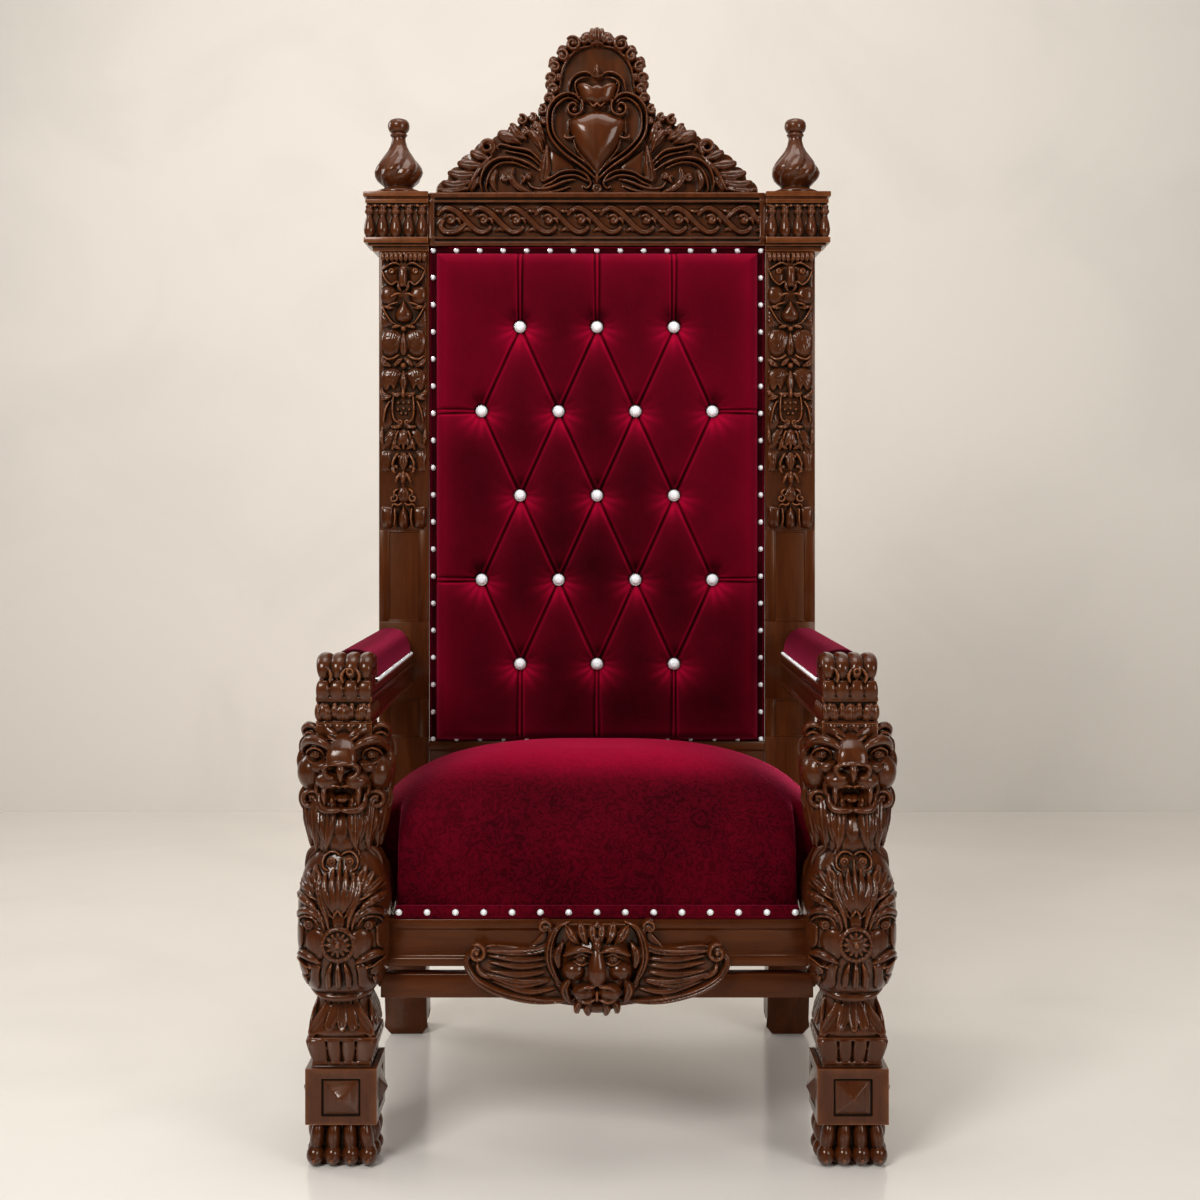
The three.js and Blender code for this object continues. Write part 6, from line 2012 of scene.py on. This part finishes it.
class THRONE_OT_top_rail(bpy.types.Operator):
    """Carve the top rail and its running scrolls"""

    bl_idname = "throne.top_rail"
    bl_label = "Top rail"
    bl_options = {"REGISTER", "UNDO"}

    def execute(self, context):
        place_wood(context, build_top_rail(context), axis="x")
        return {"FINISHED"}


class THRONE_OT_crest(bpy.types.Operator):
    """Carve the pierced cresting with its shield and leaf scrolls"""

    bl_idname = "throne.crest"
    bl_label = "Cresting"
    bl_options = {"REGISTER", "UNDO"}

    def execute(self, context):
        place_wood(context, build_crest(context))
        return {"FINISHED"}


class THRONE_OT_apron(bpy.types.Operator):
    """Carve the lion mask and wings on the front rail"""

    bl_idname = "throne.apron"
    bl_label = "Apron mask"
    bl_options = {"REGISTER", "UNDO"}

    def execute(self, context):
        place_wood(context, build_apron(context))
        return {"FINISHED"}


class THRONE_OT_rails(bpy.types.Operator):
    """Ease the edges of the plain rails and boards and give them their grain"""

    bl_idname = "throne.rails"
    bl_label = "Rails and boards"
    bl_options = {"REGISTER", "UNDO"}

    def execute(self, context):
        for piece, node in build_rails(context):
            axis = "y" if node.endswith(("left", "right")) else "z" if node == "back_panel" else "x"
            place(piece, mahogany(context, False, axis), "wood", node)
        return {"FINISHED"}


class THRONE_OT_back_pad(bpy.types.Operator):
    """Make the tufted velvet back with its folds and flat border"""

    bl_idname = "throne.back_pad"
    bl_label = "Tufted back"
    bl_options = {"REGISTER", "UNDO"}

    def execute(self, context):
        for piece, node in build_back_pad(context):
            place(piece, velvet(context, "back_velvet", 0.15, light_painted=True), "velvet", node)
        return {"FINISHED"}


class THRONE_OT_seat(bpy.types.Operator):
    """Make the domed velvet seat"""

    bl_idname = "throne.seat"
    bl_label = "Seat"
    bl_options = {"REGISTER", "UNDO"}

    def execute(self, context):
        for piece, node in build_seat(context):
            place(piece, velvet(context, "seat_velvet", 1.0, light_painted=True), "velvet", node)
        return {"FINISHED"}


class THRONE_OT_arm_pads(bpy.types.Operator):
    """Make the half-round velvet pads on the arms"""

    bl_idname = "throne.arm_pads"
    bl_label = "Arm pads"
    bl_options = {"REGISTER", "UNDO"}

    def execute(self, context):
        for piece, node in build_arm_pads(context):
            place(piece, velvet(context, "seat_velvet", 1.0), "velvet", node)
        return {"FINISHED"}


class THRONE_OT_crystals(bpy.types.Operator):
    """Set the crystal buttons, the border studs and the trim along the arms"""

    bl_idname = "throne.crystals"
    bl_label = "Crystals"
    bl_options = {"REGISTER", "UNDO"}

    def execute(self, context):
        for piece, *nodes in build_buttons(context) + build_studs(context):
            rims = [face.material_index for face in piece.data.polygons]
            place(piece, crystal(context), "crystal", *nodes)
            piece.data.materials.append(silver(context))
            piece.data.polygons.foreach_set("material_index", rims)
        return {"FINISHED"}


def area_light(name, place_at, power, size, toward=(0, 0, 0.9), color=(1, 1, 1)):
    light = bpy.data.lights.new(name, "AREA")
    light.energy = power
    light.size = size
    light.color = color
    lamp = bpy.data.objects.new(name, light)
    lamp.location = place_at
    lamp.rotation_euler = (Vector(toward) - Vector(place_at)).to_track_quat("-Z", "Y").to_euler()
    bpy.context.scene.collection.objects.link(lamp)


class THRONE_OT_stage(bpy.types.Operator):
    """Set the pale floor and backdrop, the studio lights and the camera"""

    bl_idname = "throne.stage"
    bl_label = "Stage"
    bl_options = {"REGISTER", "UNDO"}

    def execute(self, context):
        look = context.scene.throne_stage
        bpy.ops.object.select_all(action="DESELECT")
        bpy.ops.mesh.primitive_plane_add(size=12, location=(0, 0, -0.0005))
        floor = context.active_object
        floor.name = floor.data.name = "floor"
        bpy.ops.mesh.primitive_plane_add(size=12, location=(0, 2.6, 5.9), rotation=(math.pi / 2, 0, 0))
        wall = context.active_object
        wall.name = wall.data.name = "backdrop"
        for piece, rough, tone in ((floor, 0.14, look.floor), (wall, 0.8, look.wall)):
            material, shader, kit = surface("pale_" + piece.name)
            place_at = kit.add("ShaderNodeTexCoord").outputs["Object"]
            cloud = kit.add("ShaderNodeTexNoise", Vector=place_at, Scale=1.4, Detail=5.0,
                            Distortion=1.0).outputs["Fac"]
            kit.give(shader, "Base Color", kit.mix(kit.ramp(cloud, 0.4, 0.7), rgba(tone), rgba(tone, 0.95)))
            shader.inputs["Roughness"].default_value = rough
            piece.data.materials.append(material)
        area_light("key", (-1.7, -3.1, 2.9), look.key, 1.3)
        area_light("fill", (2.4, -2.7, 1.7), look.fill, 1.4)
        area_light("top", (0, -0.4, 3.6), look.fill * 0.8, 1.6, (0, 0, 1.0))
        area_light("rim", (-2.6, 0.9, 2.2), look.fill * 0.5, 1.0)
        area_light("backdrop_glow", (0, 1.0, 3.4), look.glow, 4.0, (0, 2.6, 1.4), (1, 0.95, 0.88))
        world = bpy.data.worlds.new("studio")
        world.use_nodes = True
        background = world.node_tree.nodes["Background"]
        background.inputs["Color"].default_value = (1.0, 0.97, 0.93, 1)
        background.inputs["Strength"].default_value = look.room
        context.scene.world = world
        context.scene.view_settings.view_transform = "Standard"
        camera = bpy.data.cameras.new("camera")
        camera.lens = 52.8
        camera.shift_x = 0.0025
        camera.shift_y = -0.0767
        rig = bpy.data.objects.new("camera", camera)
        rig.location = (0, -2.835, 0.938)
        rig.rotation_euler = (math.pi / 2, 0, 0)
        context.scene.collection.objects.link(rig)
        context.scene.camera = rig
        return {"FINISHED"}


class THRONE_PT_panel(bpy.types.Panel):
    """Lists the throne's operators and settings"""

    bl_label = "Carved throne"
    bl_idname = "THRONE_PT_panel"
    bl_space_type = "VIEW_3D"
    bl_region_type = "UI"
    bl_category = "Throne"

    def draw(self, context):
        for step in STEPS:
            self.layout.operator(step.bl_idname)
        for group in (context.scene.throne_wood, context.scene.throne_velvet, context.scene.throne_crystal,
                      context.scene.throne_stage):
            box = self.layout.box()
            for key in group.__annotations__:
                box.prop(group, key)


STEPS = (THRONE_OT_stage, THRONE_OT_posts, THRONE_OT_arms, THRONE_OT_uprights, THRONE_OT_tops, THRONE_OT_top_rail,
         THRONE_OT_crest, THRONE_OT_apron, THRONE_OT_rails, THRONE_OT_back_pad, THRONE_OT_seat, THRONE_OT_arm_pads,
         THRONE_OT_crystals)
SETTINGS = {"throne_wood": ThroneWood, "throne_velvet": ThroneVelvet, "throne_crystal": ThroneCrystal,
            "throne_stage": ThroneStage}


def register():
    for kind in (*SETTINGS.values(), *STEPS, THRONE_PT_panel):
        bpy.utils.register_class(kind)
    for name, kind in SETTINGS.items():
        setattr(bpy.types.Scene, name, bpy.props.PointerProperty(type=kind))


def unregister():
    for name in SETTINGS:
        delattr(bpy.types.Scene, name)
    for kind in reversed((*SETTINGS.values(), *STEPS, THRONE_PT_panel)):
        bpy.utils.unregister_class(kind)


def main():
    register()
    for step in STEPS:
        group, name = step.bl_idname.split(".")
        getattr(getattr(bpy.ops, group), name)()


if __name__ == "__main__":
    main()
